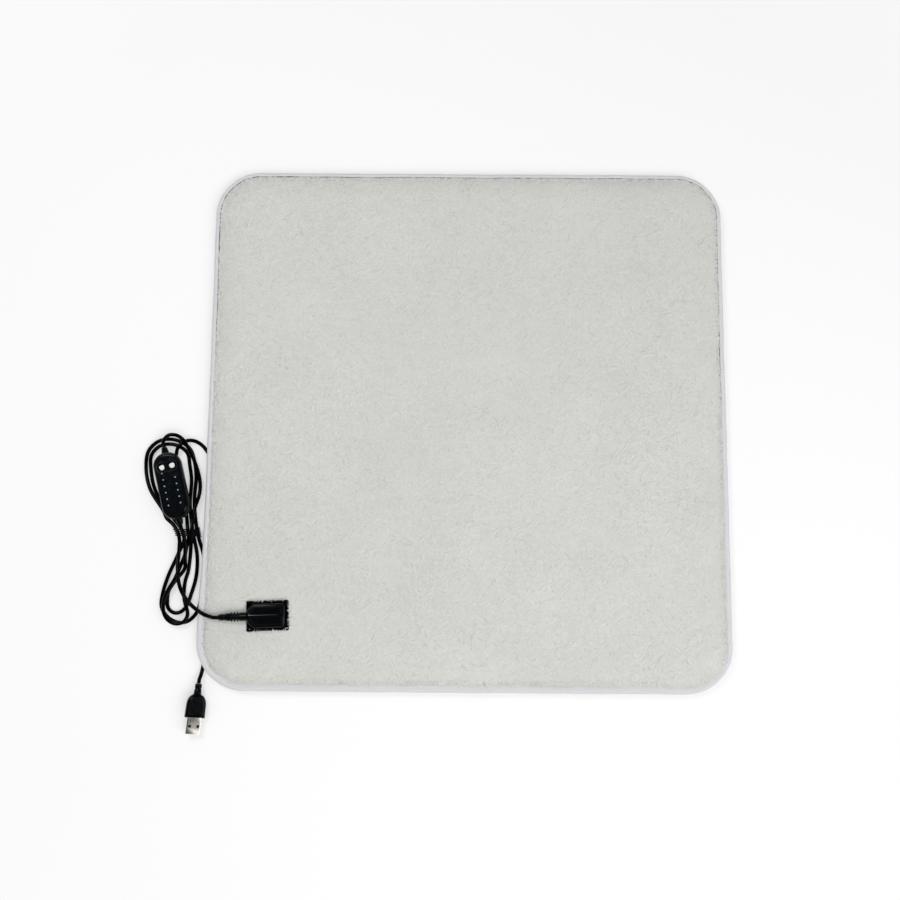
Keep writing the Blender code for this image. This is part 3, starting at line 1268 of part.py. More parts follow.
def build_usb_plug():
    """The USB plug: boot, overmoulded grip, metal shell, tongue and contacts."""
    boot = ribbed_boot("usb_boot", USB_BOOT_LENGTH, USB_BOOT_TIP, USB_BOOT_TIP, USB_BOOT_BASE, 2, 0.3)
    turn = Matrix.Rotation(math.pi / 2, 4, "Z")
    place = Matrix.Translation((0, -USB_BOOT_LENGTH, 0))
    add_object("usb_boot", boot, BLACK_RUBBER, 0.45, frame=USB_FRAME @ place @ turn)

    start = USB_BOOT_LENGTH + GAP
    length, width, height = USB_BODY_LENGTH, USB_BODY_WIDTH, USB_BODY_HEIGHT
    stations = (
        (0.0, 0.46, 0.84), (0.07, 0.66, 0.90), (0.17, 0.84, 0.96), (0.29, 0.95, 1.0), (0.42, 1.0, 1.0),
        (0.95, 1.03, 1.0), (1.0, 1.0, 0.97),
    )
    rings = [
        usb_section(start + share * length, width_share * width, height_share * height, USB_BODY_CORNER)
        for share, width_share, height_share in stations
    ]
    body = add_object("usb_grip", loft("usb_grip", rings), BLACK_PLASTIC, 0.4, frame=USB_FRAME)
    mouth = start + length
    pocket = loft(
        "grip_pocket",
        [usb_section(along, USB_SHELL_WIDTH + 2 * GAP, USB_SHELL_HEIGHT + 2 * GAP, GAP * 2)
         for along in (mouth - USB_SHELL_SEAT - GAP, mouth + CUT_OVERRUN)],
    )
    boolean(body, cutter(pocket, USB_FRAME))

    shell_start, shell_end = mouth - USB_SHELL_SEAT, mouth + USB_SHELL_REACH
    shell = add_object(
        "usb_shell",
        loft("usb_shell", [usb_section(along, USB_SHELL_WIDTH, USB_SHELL_HEIGHT, GAP * 2)
                           for along in (shell_start, shell_end)]),
        NICKEL, 0.2, 1.0, USB_FRAME,
    )
    inner_width = USB_SHELL_WIDTH - 2 * USB_SHELL_WALL
    inner_height = USB_SHELL_HEIGHT - 2 * USB_SHELL_WALL
    hollow = loft(
        "shell_hollow",
        [usb_section(along, inner_width, inner_height, GAP)
         for along in (shell_start + USB_SHELL_WALL, shell_end + CUT_OVERRUN)],
    )
    boolean(shell, cutter(hollow, USB_FRAME))
    half_window = USB_WINDOW / 2
    for side, label in ((-1, "left"), (1, "right")):
        centre_x = side * USB_WINDOW_SPACING / 2
        centre_y = -(mouth + USB_WINDOW_PLACE)
        window = box_mesh(
            f"shell_window_{label}", (centre_x - half_window, centre_y - half_window, -USB_SHELL_HEIGHT),
            (centre_x + half_window, centre_y + half_window, USB_SHELL_HEIGHT),
        )
        boolean(shell, cutter(window, USB_FRAME))

    tongue_top = inner_height / 2 - GAP
    tongue_bottom = tongue_top - USB_TONGUE_HEIGHT
    tongue_start = shell_start + USB_SHELL_WALL + GAP
    half_tongue = inner_width / 2 - GAP
    add_object(
        "usb_tongue",
        box_mesh("usb_tongue", (-half_tongue, -(mouth + USB_TONGUE_REACH), tongue_bottom),
                 (half_tongue, -tongue_start, tongue_top)),
        WHITE_PLASTIC, 0.5, frame=USB_FRAME,
    )
    contact_top = tongue_bottom - GAP
    half_contact = USB_CONTACT_WIDTH / 2
    for index, side in enumerate((-1, 1), start=1):
        x = side * USB_CONTACT_SPACING / 2
        name = f"usb_contact_{index}"
        add_object(
            name,
            box_mesh(name, (x - half_contact, -(mouth + USB_TONGUE_REACH - USB_CONTACT_WIDTH),
                            contact_top - USB_CONTACT_THICKNESS),
                     (x + half_contact, -tongue_start, contact_top)),
            BRASS, 0.3, 1.0, USB_FRAME,
        )


def main():
    """Build every piece of the heating pad."""
    clear_scene()
    build_soft_layers()
    build_heater()
    build_socket()
    build_plug()
    build_tie(build_cords())
    build_controller()
    build_usb_plug()


main()
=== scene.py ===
"""A heating pad as it looks: fleece pad with a bound edge, plug-in lead, hand controller and USB plug.

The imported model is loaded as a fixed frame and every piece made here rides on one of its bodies.
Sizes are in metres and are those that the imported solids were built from.
"""
import json
import logging
import math
from collections.abc import Callable, Iterator
from contextlib import contextmanager
from dataclasses import dataclass
from enum import Enum
from functools import partial

import bmesh
import bpy
import numpy as np
from bpy.types import Material, Mesh, Node, NodeSocket, NodeTree, Object
from mathutils import Matrix, Vector, geometry, noise

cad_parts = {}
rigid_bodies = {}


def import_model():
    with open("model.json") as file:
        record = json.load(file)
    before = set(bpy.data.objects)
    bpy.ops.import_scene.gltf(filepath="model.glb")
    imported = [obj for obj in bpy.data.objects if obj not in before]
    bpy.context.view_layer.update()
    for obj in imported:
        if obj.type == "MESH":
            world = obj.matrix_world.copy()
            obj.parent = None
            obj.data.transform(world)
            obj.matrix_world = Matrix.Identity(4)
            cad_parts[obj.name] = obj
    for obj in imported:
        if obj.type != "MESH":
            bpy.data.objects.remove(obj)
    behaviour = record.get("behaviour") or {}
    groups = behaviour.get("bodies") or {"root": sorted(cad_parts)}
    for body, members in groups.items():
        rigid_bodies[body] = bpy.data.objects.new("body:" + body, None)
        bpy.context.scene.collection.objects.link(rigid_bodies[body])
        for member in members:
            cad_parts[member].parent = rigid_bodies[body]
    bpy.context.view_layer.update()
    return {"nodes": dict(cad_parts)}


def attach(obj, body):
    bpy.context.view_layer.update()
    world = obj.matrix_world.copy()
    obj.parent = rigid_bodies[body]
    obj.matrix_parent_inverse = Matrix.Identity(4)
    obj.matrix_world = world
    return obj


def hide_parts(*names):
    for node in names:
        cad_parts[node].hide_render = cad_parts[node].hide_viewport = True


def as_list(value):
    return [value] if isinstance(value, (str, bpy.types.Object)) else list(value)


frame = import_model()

LOG = logging.getLogger("heating_pad")
GAP = 0.0003
WELD = 0.000001
UPRIGHT = Matrix.Rotation(-math.pi / 2, 4, "Y")
Point = tuple[float, float, float]
Outline = list[tuple[float, float]]


class Body(Enum):
    """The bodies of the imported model."""

    PAD = "pad"
    CORD_SET = "cord_set"
    LEFT_BUTTON = "left_button"
    RIGHT_BUTTON = "right_button"


class Slot(Enum):
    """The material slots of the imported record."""

    PLUSH = "plush"
    BINDING = "binding"
    CLOTH = "cloth"
    WADDING = "wadding"
    CORD = "cord"
    LENS = "lens"
    SHELL = "shell"
    BUTTON = "button"
    HOUSING = "housing"


# ---------------------------------------------------------------- node trees


def linear(code: str, share: float = 1.0) -> tuple[float, float, float, float]:
    """Turn an sRGB hex colour into linear RGBA.

    Args:
        code: Colour as "#rrggbb".
        share: Factor on the linear colour, for a lighter or darker tone of it.

    Returns:
        Linear red, green, blue and an alpha of one.
    """
    channels = [int(code[place:place + 2], 16) / 255 for place in (1, 3, 5)]
    return (*[share * (c / 12.92 if c <= 0.04045 else ((c + 0.055) / 1.055) ** 2.4) for c in channels], 1.0)


def feed(node: Node, sockets: dict) -> None:
    """Give a node's inputs their values and links.

    Args:
        node: The node.
        sockets: Input name or index to a value, an output, or a node that stands for its first output.
    """
    for key, value in sockets.items():
        source = value.outputs[0] if isinstance(value, Node) else value
        if isinstance(source, NodeSocket):
            node.id_data.links.new(source, node.inputs[key])
        else:
            node.inputs[key].default_value = source


def add(tree: NodeTree, kind: str, sockets: dict | None = None, **settings) -> Node:
    """Add one node with its settings, values and links.

    Args:
        tree: Tree that gets the node.
        kind: The node's type name.
        sockets: Values and links of its inputs, as feed takes them.
        settings: Properties of the node.

    Returns:
        The new node.
    """
    node = tree.nodes.new(kind)
    for key, value in settings.items():
        setattr(node, key, value)
    feed(node, sockets or {})
    return node


# ---------------------------------------------------------------- finishes


@dataclass(frozen=True)
class Finish:
    """A moulded or plated surface: an even colour with the fine grain that its tool left."""

    name: str
    colour: str
    roughness: float
    metallic: float = 0.0
    ior: float = 1.5
    shine: float = 0.5
    coat: float = 0.0
    tone: float = 0.06
    tone_size: float = 0.004
    grain: float = 0.0005
    grain_depth: float = 0.000008
    gloss_change: float = 0.06
    least_roughness: float = 0.02
    tone_band: tuple[float, float] = (0.28, 0.72)
    gloss_band: tuple[float, float] = (0.3, 0.7)

    def material(self) -> Material:
        """Build the material once and hand back the same one later."""
        kept = bpy.data.materials.get(self.name)
        if kept:
            return kept
        made = bpy.data.materials.new(self.name)
        made.use_nodes = True
        shader = made.node_tree.nodes["Principled BSDF"]
        feed(shader, {"Metallic": self.metallic, "Roughness": self.roughness, "Coat Weight": self.coat})
        if not self.metallic:
            feed(shader, {"IOR": self.ior, "Specular IOR Level": self.shine})
        self.dress(shader)
        return made

    def dress(self, shader: Node) -> None:
        """Add the moulded grain, cloudy colour and uneven gloss.

        Args:
            shader: The material's Principled shader.
        """
        new = partial(add, shader.id_data)
        place = new("ShaderNodeTexCoord").outputs["Object"]
        clouds = new("ShaderNodeTexNoise", {"Vector": place, "Scale": 1 / self.tone_size, "Detail": 4.0})
        grain = new("ShaderNodeTexNoise", {"Vector": place, "Scale": 1 / self.grain, "Detail": 3.0})
        self.tint(shader, clouds)
        self.polish(shader, clouds)
        self.relief(shader, grain, self.grain_depth)

    def tint(self, shader: Node, factor: Node) -> None:
        """Let the colour wander by the finish's tone as the factor goes from low to high.

        Args:
            shader: The material's Principled shader.
            factor: Gives a pattern from nought to one.
        """
        ramp = add(shader.id_data, "ShaderNodeValToRGB", {"Fac": factor})
        low, high = ramp.color_ramp.elements
        low.position, high.position = self.tone_band
        low.color, high.color = linear(self.colour, 1 - self.tone), linear(self.colour, 1 + self.tone)
        feed(shader, {"Base Color": ramp})

    def polish(self, shader: Node, factor: Node) -> None:
        """Let the gloss wander as the factor goes from low to high.

        Args:
            shader: The material's Principled shader.
            factor: Gives a pattern from nought to one.
        """
        low, high = self.gloss_band
        least = max(self.least_roughness, self.roughness - self.gloss_change)
        gloss = add(
            shader.id_data, "ShaderNodeMapRange",
            {"Value": factor, "From Min": low, "From Max": high, "To Min": least,
             "To Max": self.roughness + self.gloss_change},
        )
        feed(shader, {"Roughness": gloss})

    def relief(self, shader: Node, height: Node, depth: float) -> None:
        """Raise the surface by a pattern.

        Args:
            shader: The material's Principled shader.
            height: Gives the pattern, from nought to one.
            depth: Real height of the pattern.
        """
        bump = add(shader.id_data, "ShaderNodeBump", {"Height": height, "Distance": depth, "Strength": 1.0})
        feed(shader, {"Normal": bump})


@dataclass(frozen=True)
class Fleece(Finish):
    """Brushed coral fleece: short strokes of pile that lean one way or the other in small patches."""

    stroke_length: float = 0.0027
    stroke_width: float = 0.0011
    stroke_turns: tuple[float, float] = (math.radians(47), math.radians(-43))
    patch: float = 0.012
    nap: float = 0.060
    nap_share: float = 0.25
    pile_depth: float = 0.0012
    fibre_share: float = 0.03
    patch_edge: tuple[float, float] = (0.44, 0.56)
    sheen: float = 0.25
    sheen_roughness: float = 0.5

    def dress(self, shader: Node) -> None:
        """Add the nap's patches, the crossing strokes and the fibre ends.

        Args:
            shader: The material's Principled shader.
        """
        new = partial(add, shader.id_data)
        place = new("ShaderNodeTexCoord").outputs["Object"]
        stroke_size = (self.stroke_length, self.stroke_width, self.stroke_width)
        strokes = []
        for turn in self.stroke_turns:
            laid = new(
                "ShaderNodeMapping", {"Vector": place, "Rotation": (0.0, 0.0, turn), "Scale": stroke_size},
                vector_type="TEXTURE",
            )
            strokes.append(new("ShaderNodeTexNoise", {"Vector": laid, "Scale": 1.0, "Detail": 2.0, "Distortion": 0.4}))
        patches, nap, fibre = (
            new("ShaderNodeTexNoise", {"Vector": place, "Scale": 1 / size, "Detail": detail})
            for size, detail in ((self.patch, 1.0), (self.nap, 3.0), (self.grain, 2.0))
        )
        low, high = self.patch_edge
        either = new("ShaderNodeMapRange", {"Value": patches, "From Min": low, "From Max": high})
        shares = {"Factor": either, "A": strokes[0], "B": strokes[1]}
        stroke = new("ShaderNodeMix", shares, data_type="FLOAT")
        tone, height = (
            new("ShaderNodeMix", {"Factor": share, "A": stroke, "B": other}, data_type="FLOAT")
            for share, other in ((self.nap_share, nap), (self.fibre_share, fibre))
        )
        self.tint(shader, tone)
        self.relief(shader, height, self.pile_depth)
        feed(shader, {"Sheen Weight": self.sheen, "Sheen Roughness": self.sheen_roughness})


@dataclass(frozen=True)
class Woven(Finish):
    """Woven cloth: warp and weft threads a pitch apart, on the piece's own map or on its place."""

    pitch: float = 0.0007
    rib: float = 1.0
    map_name: str = ""
    wobble_share: float = 0.55
    sheen: float = 0.1

    def dress(self, shader: Node) -> None:
        """Add the crossing threads, with the tone and relief that they give.

        Args:
            shader: The material's Principled shader.
        """
        new = partial(add, shader.id_data)
        if self.map_name:
            place = new("ShaderNodeUVMap", uv_map=self.map_name).outputs["UV"]
        else:
            place = new("ShaderNodeTexCoord").outputs["Object"]
        wobble = new("ShaderNodeTexNoise", {"Vector": place, "Scale": 1 / (self.pitch * 9), "Detail": 2.0})
        # A wave repeats every 0.314 of its coordinate at a scale of one
        warp, weft = (
            new("ShaderNodeTexWave", {"Vector": place, "Scale": 0.314 / (self.pitch * scale), "Distortion": 0.0},
                bands_direction=direction).outputs["Fac"]
            for direction, scale in (("X", 1.0), ("Y", self.rib))
        )
        cloth = new("ShaderNodeMath", {0: warp, 1: weft}, operation="MAXIMUM")
        shares = {"Factor": self.wobble_share, "A": cloth, "B": wobble}
        self.tint(shader, new("ShaderNodeMix", shares, data_type="FLOAT"))
        self.relief(shader, cloth, self.grain_depth)
        feed(shader, {"Sheen Weight": self.sheen})


@dataclass(frozen=True)
class Extruded(Finish):
    """Extruded cord jacket: faint lines along it from the die, on the cord's own map."""

    map_name: str = "lay"
    drawing: Point = (40.0, 14.0, 1.0)

    def dress(self, shader: Node) -> None:
        """Add the die lines and a slightly uneven gloss.

        Args:
            shader: The material's Principled shader.
        """
        new = partial(add, shader.id_data)
        place = new("ShaderNodeUVMap", uv_map=self.map_name)
        drawn = new("ShaderNodeMapping", {"Vector": place, "Scale": self.drawing})
        lines = new("ShaderNodeTexNoise", {"Vector": drawn, "Scale": 1.0, "Detail": 3.0})
        self.tint(shader, lines)
        self.polish(shader, lines)
        self.relief(shader, lines, self.grain_depth)


# Coral fleece, polyester, knitted and brushed: matt, soft, its strokes just a shade apart
FLEECE = Fleece("coral_fleece_brushed", "#d5d6d1", 0.95, shine=0.1, tone=0.10, grain=0.0003)
# Polyester tape, woven in fine ribs: a cool white with a slight sheen
TAPE = Woven("polyester_tape_woven", "#d3d3d6", 0.75, shine=0.2, tone=0.05, pitch=0.0008, rib=1.5,
             grain_depth=0.00006, map_name="tape")
# Sewing thread, spun polyester: painted highlight, its colour lighter than the tape's for the light it catches where it
# stands proud of it
THREAD = Finish("polyester_thread_spun", "#dfdfe2", 0.7, shine=0.2, grain=0.0002, grain_depth=0.00002)
# Plain-woven polyester lining: threads drawn 0.9 mm apart, coarser than real so that they show
LINING = Woven("polyester_lining_woven", "#c9cac5", 0.85, shine=0.2, tone=0.05, pitch=0.0009,
               grain_depth=0.00008)
# Needled polyester wadding: cloudy white fibres
WADDING = Finish("polyester_wadding_needled", "#e4e4e0", 0.95, shine=0.1, tone=0.08, tone_size=0.005,
                 grain=0.0006, grain_depth=0.0002)
# Soft PVC jacket, extruded: satin black with a narrow highlight along it
JACKET = Extruded("pvc_jacket_extruded", "#020304", 0.20, shine=0.09, tone=0.15, grain_depth=0.000003)
# ABS housing, moulded against a fine spark-eroded tool: black, satin, faintly blue
HOUSING = Finish("abs_moulded_satin", "#030608", 0.20, shine=0.26, tone=0.12, grain=0.0004,
                 grain_depth=0.0000015)
# ABS panel, moulded against a polished tool: darker and glossier than the case round it
PANEL = Finish("abs_moulded_polished", "#060b0f", 0.10, shine=0.42, tone=0.10, grain=0.0006,
               grain_depth=0.000001)
# Polycarbonate buttons, polished: a clear hard highlight
BUTTON = Finish("polycarbonate_moulded_gloss", "#0a0d10", 0.06, shine=0.6, coat=0.6, gloss_change=0.02,
                grain_depth=0.000002)
# TPE strain reliefs, moulded: softer shine than the housings
RUBBER = Finish("tpe_moulded_matt", "#04070a", 0.20, shine=0.16, tone=0.12, grain=0.0003,
                grain_depth=0.00001)
# Frosted acrylic light pipes, moulded: pale grey when unlit
LENS = Finish("acrylic_moulded_frosted", "#8b908f", 0.35, ior=1.49, tone=0.04)
# Nickel-plated steel, drawn: bright, nearly white, with faint drawing lines
NICKEL = Finish("steel_nickel_plated", "#dedbd5", 0.30, metallic=1.0, tone=0.04, tone_size=0.003,
                grain_depth=0.0000004)
# Zinc-plated steel screws, cold headed
ZINC = Finish("steel_zinc_plated", "#b9bdc2", 0.35, metallic=1.0, tone=0.08, tone_size=0.001)
# Brass contacts, drawn
BRASS = Finish("brass_drawn", "#c9a35a", 0.3, metallic=1.0, tone=0.08, tone_size=0.001)
# PBT tongue, moulded dark brown: seen through the shell's windows
PBT = Finish("pbt_moulded_brown", "#2a1d18", 0.5, shine=0.4)
# Glass-epoxy board with its green solder mask
BOARD = Finish("glass_epoxy_solder_mask", "#1c4f30", 0.35, shine=0.5, tone=0.15)
# Silicone-insulated heating wire, extruded, red brown
INSULATION = Finish("silicone_insulation_extruded", "#a04434", 0.5, shine=0.3)


# ---------------------------------------------------------------- shapes


@contextmanager
def opened(mesh: Mesh) -> Iterator[bmesh.types.BMesh]:
    """Open a mesh for bmesh's operations within a block, and write it back after them.

    Args:
        mesh: The mesh.

    Returns:
        Its open form.
    """
    shape = bmesh.new()
    shape.from_mesh(mesh)
    yield shape
    shape.to_mesh(mesh)
    shape.free()


def in_scene(name: str, data: bpy.types.ID) -> Object:
    """Make an object of new data and link it to the scene.

    Args:
        name: The object's name.
        data: Its mesh, camera or lamp.

    Returns:
        The new object.
    """
    thing = bpy.data.objects.new(name, data)
    bpy.context.scene.collection.objects.link(thing)
    return thing


def meshed(name: str, points: list, faces: list, edges: list | None = None) -> Mesh:
    """Make a mesh of points, faces and loose edges.

    Args:
        name: The mesh's name.
        points: Its points.
        faces: Its faces, as numbers of points.
        edges: Its loose edges, likewise.

    Returns:
        The mesh.
    """
    mesh = bpy.data.meshes.new(name)
    mesh.from_pydata(points, edges or [], faces)
    return mesh


def mapped(mesh: Mesh, name: str, corners: list[tuple[float, float]]) -> None:
    """Give a mesh a map, with one place for each corner of its faces."""
    mesh.uv_layers.new(name=name).data.foreach_set("uv", np.array(corners, dtype=np.float32).ravel())


def plain(piece: Object) -> Mesh:
    """Make the plain mesh that a piece's live modifiers give."""
    return bpy.data.meshes.new_from_object(piece.evaluated_get(bpy.context.evaluated_depsgraph_get()))


def linked(name: str, mesh: Mesh, finish: Finish, smooth: float = 35.0) -> Object:
    """Link a mesh as an object with its finish, shaded smooth up to an angle.

    Args:
        name: The piece's name.
        mesh: Its mesh.
        finish: Its surface.
        smooth: Edges sharper than this many degrees stay sharp.

    Returns:
        The new object.
    """
    mesh.materials.clear()
    mesh.materials.append(finish.material())
    mesh.shade_smooth()
    mesh.set_sharp_from_angle(angle=math.radians(smooth))
    return in_scene(name, mesh)


class Shape:
    """Points and faces gathered before they become one piece."""

    def __init__(self, points: list[Point] | None = None, faces: list[tuple[int, ...]] | None = None) -> None:
        """Start with nothing, or with the points and faces given."""
        self.points, self.faces = points or [], faces or []

    def loft(self, rings: list[list[Point]], wrap: bool = False) -> "Shape":
        """Join rings of as many points each.

        Args:
            rings: Closed rings in order.
            wrap: Join the last ring to the first, where otherwise one face closes each of them.

        Returns:
            The shape itself.
        """
        count, base = len(rings[0]), len(self.points)
        self.points += [tuple(point) for ring in rings for point in ring]
        last = len(rings) if wrap else len(rings) - 1
        for row in range(last):
            low, high = base + row * count, base + (row + 1) % len(rings) * count
            for i in range(count):
                j = (i + 1) % count
                self.faces.append((low + j, low + i, high + i, high + j))
        if not wrap:
            self.faces.append(tuple(range(base, base + count)))
            self.faces.append(tuple(base + last * count + i for i in reversed(range(count))))
        return self

    def piece(self, name: str, finish: Finish, at: Matrix | None = None, smooth: float = 35.0) -> Object:
        """Make the piece's object, its place in its mesh.

        Args:
            name: The piece's name.
            finish: Its surface.
            at: Frame that the points are in.
            smooth: Edges sharper than this many degrees stay sharp.

        Returns:
            The new object, at the origin.
        """
        mesh = meshed(name, self.points, self.faces)
        with opened(mesh) as shape:
            bmesh.ops.remove_doubles(shape, verts=shape.verts, dist=WELD)
            if at is not None:
                bmesh.ops.transform(shape, matrix=at, verts=shape.verts)
            bmesh.ops.recalc_face_normals(shape, faces=shape.faces)
        return linked(name, mesh, finish, smooth)


def settled(piece: Object) -> Object:
    """Turn a piece with live modifiers into a plain mesh."""
    mesh = plain(piece)
    mesh.name = piece.name
    piece.modifiers.clear()
    piece.data = mesh
    return piece


def bevelled(piece: Object, width: float) -> Object:
    """Round a piece's sharp edges.

    Args:
        piece: The piece.
        width: Width of the rounding.

    Returns:
        The piece, as a plain mesh.
    """
    edge = piece.modifiers.new("edges", "BEVEL")
    edge.width, edge.segments = width, 2
    edge.limit_method, edge.angle_limit = "ANGLE", math.radians(30.0)
    edge.use_clamp_overlap = True
    piece.data.shade_smooth()
    # Large faces keep their own direction, so that only the rounded edges catch the light
    piece.modifiers.new("flat faces", "WEIGHTED_NORMAL")
    return settled(piece)


def cut(piece: Object, tools: list[Object], operation: str = "DIFFERENCE") -> Object:
    """Cut tools out of a piece, or join them to it, and remove the tools.

    Args:
        piece: The piece.
        tools: The tool shapes.
        operation: Boolean operation.

    Returns:
        The piece, as a plain mesh.
    """
    for tool in tools:
        step = piece.modifiers.new(tool.name, "BOOLEAN")
        step.operation, step.solver, step.object = operation, "EXACT", tool
    settled(piece)
    for tool in tools:
        bpy.data.objects.remove(tool, do_unlink=True)
    # The new edges where they meet are sharp
    piece.data.shade_smooth()
    piece.data.set_sharp_from_angle(angle=math.radians(40.0))
    return piece


def softened(node: str, finish: Finish, width: float, name: str = "") -> Object:
    """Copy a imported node's form and round its edges as a mould rounds them.

    Args:
        node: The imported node.
        finish: The new piece's surface.
        width: Width of the rounding.
        name: The new piece's name.

    Returns:
        The new piece.
    """
    mesh = frame["nodes"][node].data.copy()
    with opened(mesh) as shape:
        bmesh.ops.remove_doubles(shape, verts=shape.verts, dist=2 * WELD)
        bmesh.ops.dissolve_limit(shape, angle_limit=math.radians(1.0), verts=shape.verts, edges=shape.edges)
    piece = linked(name or node + "_form", mesh, finish, 25.0)
    return bevelled(piece, width) if width else piece


def shrunk(outline: Outline, inset: float) -> Outline:
    """Move each side of an anticlockwise outline inwards.

    Args:
        outline: The outline.
        inset: Distance of the move.

    Returns:
        The new outline, as many points long.
    """
    moved = []
    for i, spot in enumerate(outline):
        before, here, after = Vector(outline[i - 1]), Vector(spot), Vector(outline[(i + 1) % len(outline)])
        first, second = (here - before).normalized(), (after - here).normalized()
        normal = Vector((-(first.y + second.y), first.x + second.x)).normalized()
        share = max(0.5, normal.dot(Vector((-first.y, first.x))))
        moved.append(tuple(here + normal * inset / share))
    return moved


def turned(profile: Outline, sides: int = 28) -> Shape:
    """Make a solid turned about X.

    Args:
        profile: Pairs of place along X and radius.
        sides: Faces round it.

    Returns:
        The shape.
    """
    angles = [2 * math.pi * side / sides for side in range(sides)]
    rings = [[(along, radius * math.cos(a), radius * math.sin(a)) for a in angles] for along, radius in profile]
    return Shape().loft(rings)


def rounded_rectangle(length: float, width: float, radius: float, steps: int = 10) -> Outline:
    """Outline of a rounded rectangle about the origin, anticlockwise.

    Args:
        length: Size along X.
        width: Size along Y.
        radius: Corner radius.
        steps: Faces round each corner.

    Returns:
        The outline's points.
    """
    points = []
    for quarter, (sx, sy) in enumerate(((1, 1), (-1, 1), (-1, -1), (1, -1))):
        centre_x, centre_y = sx * (length / 2 - radius), sy * (width / 2 - radius)
        for step in range(steps + 1):
            angle = math.pi / 2 * (quarter + step / steps)
            points.append((centre_x + radius * math.cos(angle), centre_y + radius * math.sin(angle)))
    return points


def outside(x: np.ndarray, y: np.ndarray, length: float, width: float, radius: float) -> np.ndarray:
    """Distance of points from the edge of a rounded rectangle about the origin, outwards.

    Args:
        x: Places along X.
        y: Places along Y.
        length: Its size along X.
        width: Its size along Y.
        radius: Its corner radius.

    Returns:
        The distances.
    """
    qx, qy = np.abs(x) - length / 2 + radius, np.abs(y) - width / 2 + radius
    return np.hypot(np.maximum(qx, 0), np.maximum(qy, 0)) + np.minimum(np.maximum(qx, qy), 0) - radius


def level_rings(outline: Callable[[float], Outline], profile: Outline) -> list[list[Point]]:
    """Rings of one outline at several insets and heights.

    Args:
        outline: Gives the outline for an inset.
        profile: Pairs of inset and height.

    Returns:
        One ring for each pair.
    """
    return [[(x, y, height) for x, y in outline(inset)] for inset, height in profile]


def smooth_route(route: list[Vector], spacing: float) -> list[Vector]:
    """Evenly spaced points on a smooth curve through a route, its first and last steps straight.

    Args:
        route: Points that the curve passes through.
        spacing: Distance between the points wanted.

    Returns:
        The points.
    """
    knots = [Vector(point) for point in route]
    fine_steps = 24
    fine = []
    for before, here, after, later in zip(knots, knots[1:], knots[2:], knots[3:]):
        t1 = math.sqrt((here - before).length)
        t2 = t1 + math.sqrt((after - here).length)
        t3 = t2 + math.sqrt((later - after).length)
        for step in range(fine_steps):
            t = t1 + (t2 - t1) * step / fine_steps
            a1 = before.lerp(here, t / t1)
            a2 = here.lerp(after, (t - t1) / (t2 - t1))
            a3 = after.lerp(later, (t - t2) / (t3 - t2))
            b1 = a1.lerp(a2, t / t2)
            b2 = a2.lerp(a3, (t - t1) / (t3 - t1))
            fine.append(b1.lerp(b2, (t - t1) / (t2 - t1)))
    fine.append(knots[-2])
    lengths = np.concatenate([[0.0], np.cumsum([(b - a).length for a, b in zip(fine, fine[1:])])])
    count = max(2, round(lengths[-1] / spacing))
    wanted = np.linspace(0.0, lengths[-1], count + 1)
    columns = [np.interp(wanted, lengths, [point[axis] for point in fine]) for axis in range(3)]
    return [knots[0], *[Vector(point) for point in zip(*columns)], knots[-1]]


def path_length(points: list[Vector]) -> float:
    """Length of a line through points."""
    return sum((b - a).length for a, b in zip(points, points[1:]))


def tube(name: str, path: list[Vector], radius: float, finish: Finish, sides: int = 16) -> Object:
    """A round cord along a path, with a map: along it in metres and once round it.

    Args:
        name: The piece's name.
        path: Points that it follows.
        radius: Its radius.
        finish: Its surface.
        sides: Faces round it.

    Returns:
        The new piece.
    """
    points, faces, corners = [], [], []
    heading = (path[1] - path[0]).normalized()
    side = heading.cross(Vector((0, 0, 1))).normalized()
    along, places = 0.0, []
    for index, here in enumerate(path):
        before, after = path[max(0, index - 1)], path[min(len(path) - 1, index + 1)]
        turn = heading.rotation_difference((after - before).normalized())
        heading = (after - before).normalized()
        side = (turn @ side).normalized()
        up = heading.cross(side)
        along += (here - before).length
        places.append(along)
        for step in range(sides):
            angle = 2 * math.pi * step / sides
            points.append(here + radius * (math.cos(angle) * side + math.sin(angle) * up))
    for row in range(len(path) - 1):
        for i in range(sides):
            j = (i + 1) % sides
            low, high = row * sides, (row + 1) * sides
            faces.append((low + i, low + j, high + j, high + i))
            v0, v1 = i / sides, (i + 1) / sides
            corners += [(places[row], v0), (places[row], v1), (places[row + 1], v1), (places[row + 1], v0)]
    for ring, order in ((0, 1), (len(path) - 1, -1)):
        faces.append(tuple(ring * sides + i for i in range(sides))[::-order])
        corners += [(places[ring], 0.0)] * sides
    mesh = meshed(name, points, faces)
    mapped(mesh, "lay", corners)
    return linked(name, mesh, finish, 50.0)


def place(piece: Object, body: Body, slot: Slot, *nodes: str) -> Object:
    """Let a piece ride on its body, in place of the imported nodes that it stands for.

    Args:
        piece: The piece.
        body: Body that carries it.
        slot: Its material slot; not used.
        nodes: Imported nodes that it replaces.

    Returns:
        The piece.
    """
    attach(piece, body.value)
    if nodes:
        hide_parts(*nodes)
    LOG.info("%s on %s, %d faces", piece.name, body.value, len(piece.data.polygons))
    return piece


# ---------------------------------------------------------------- repeats


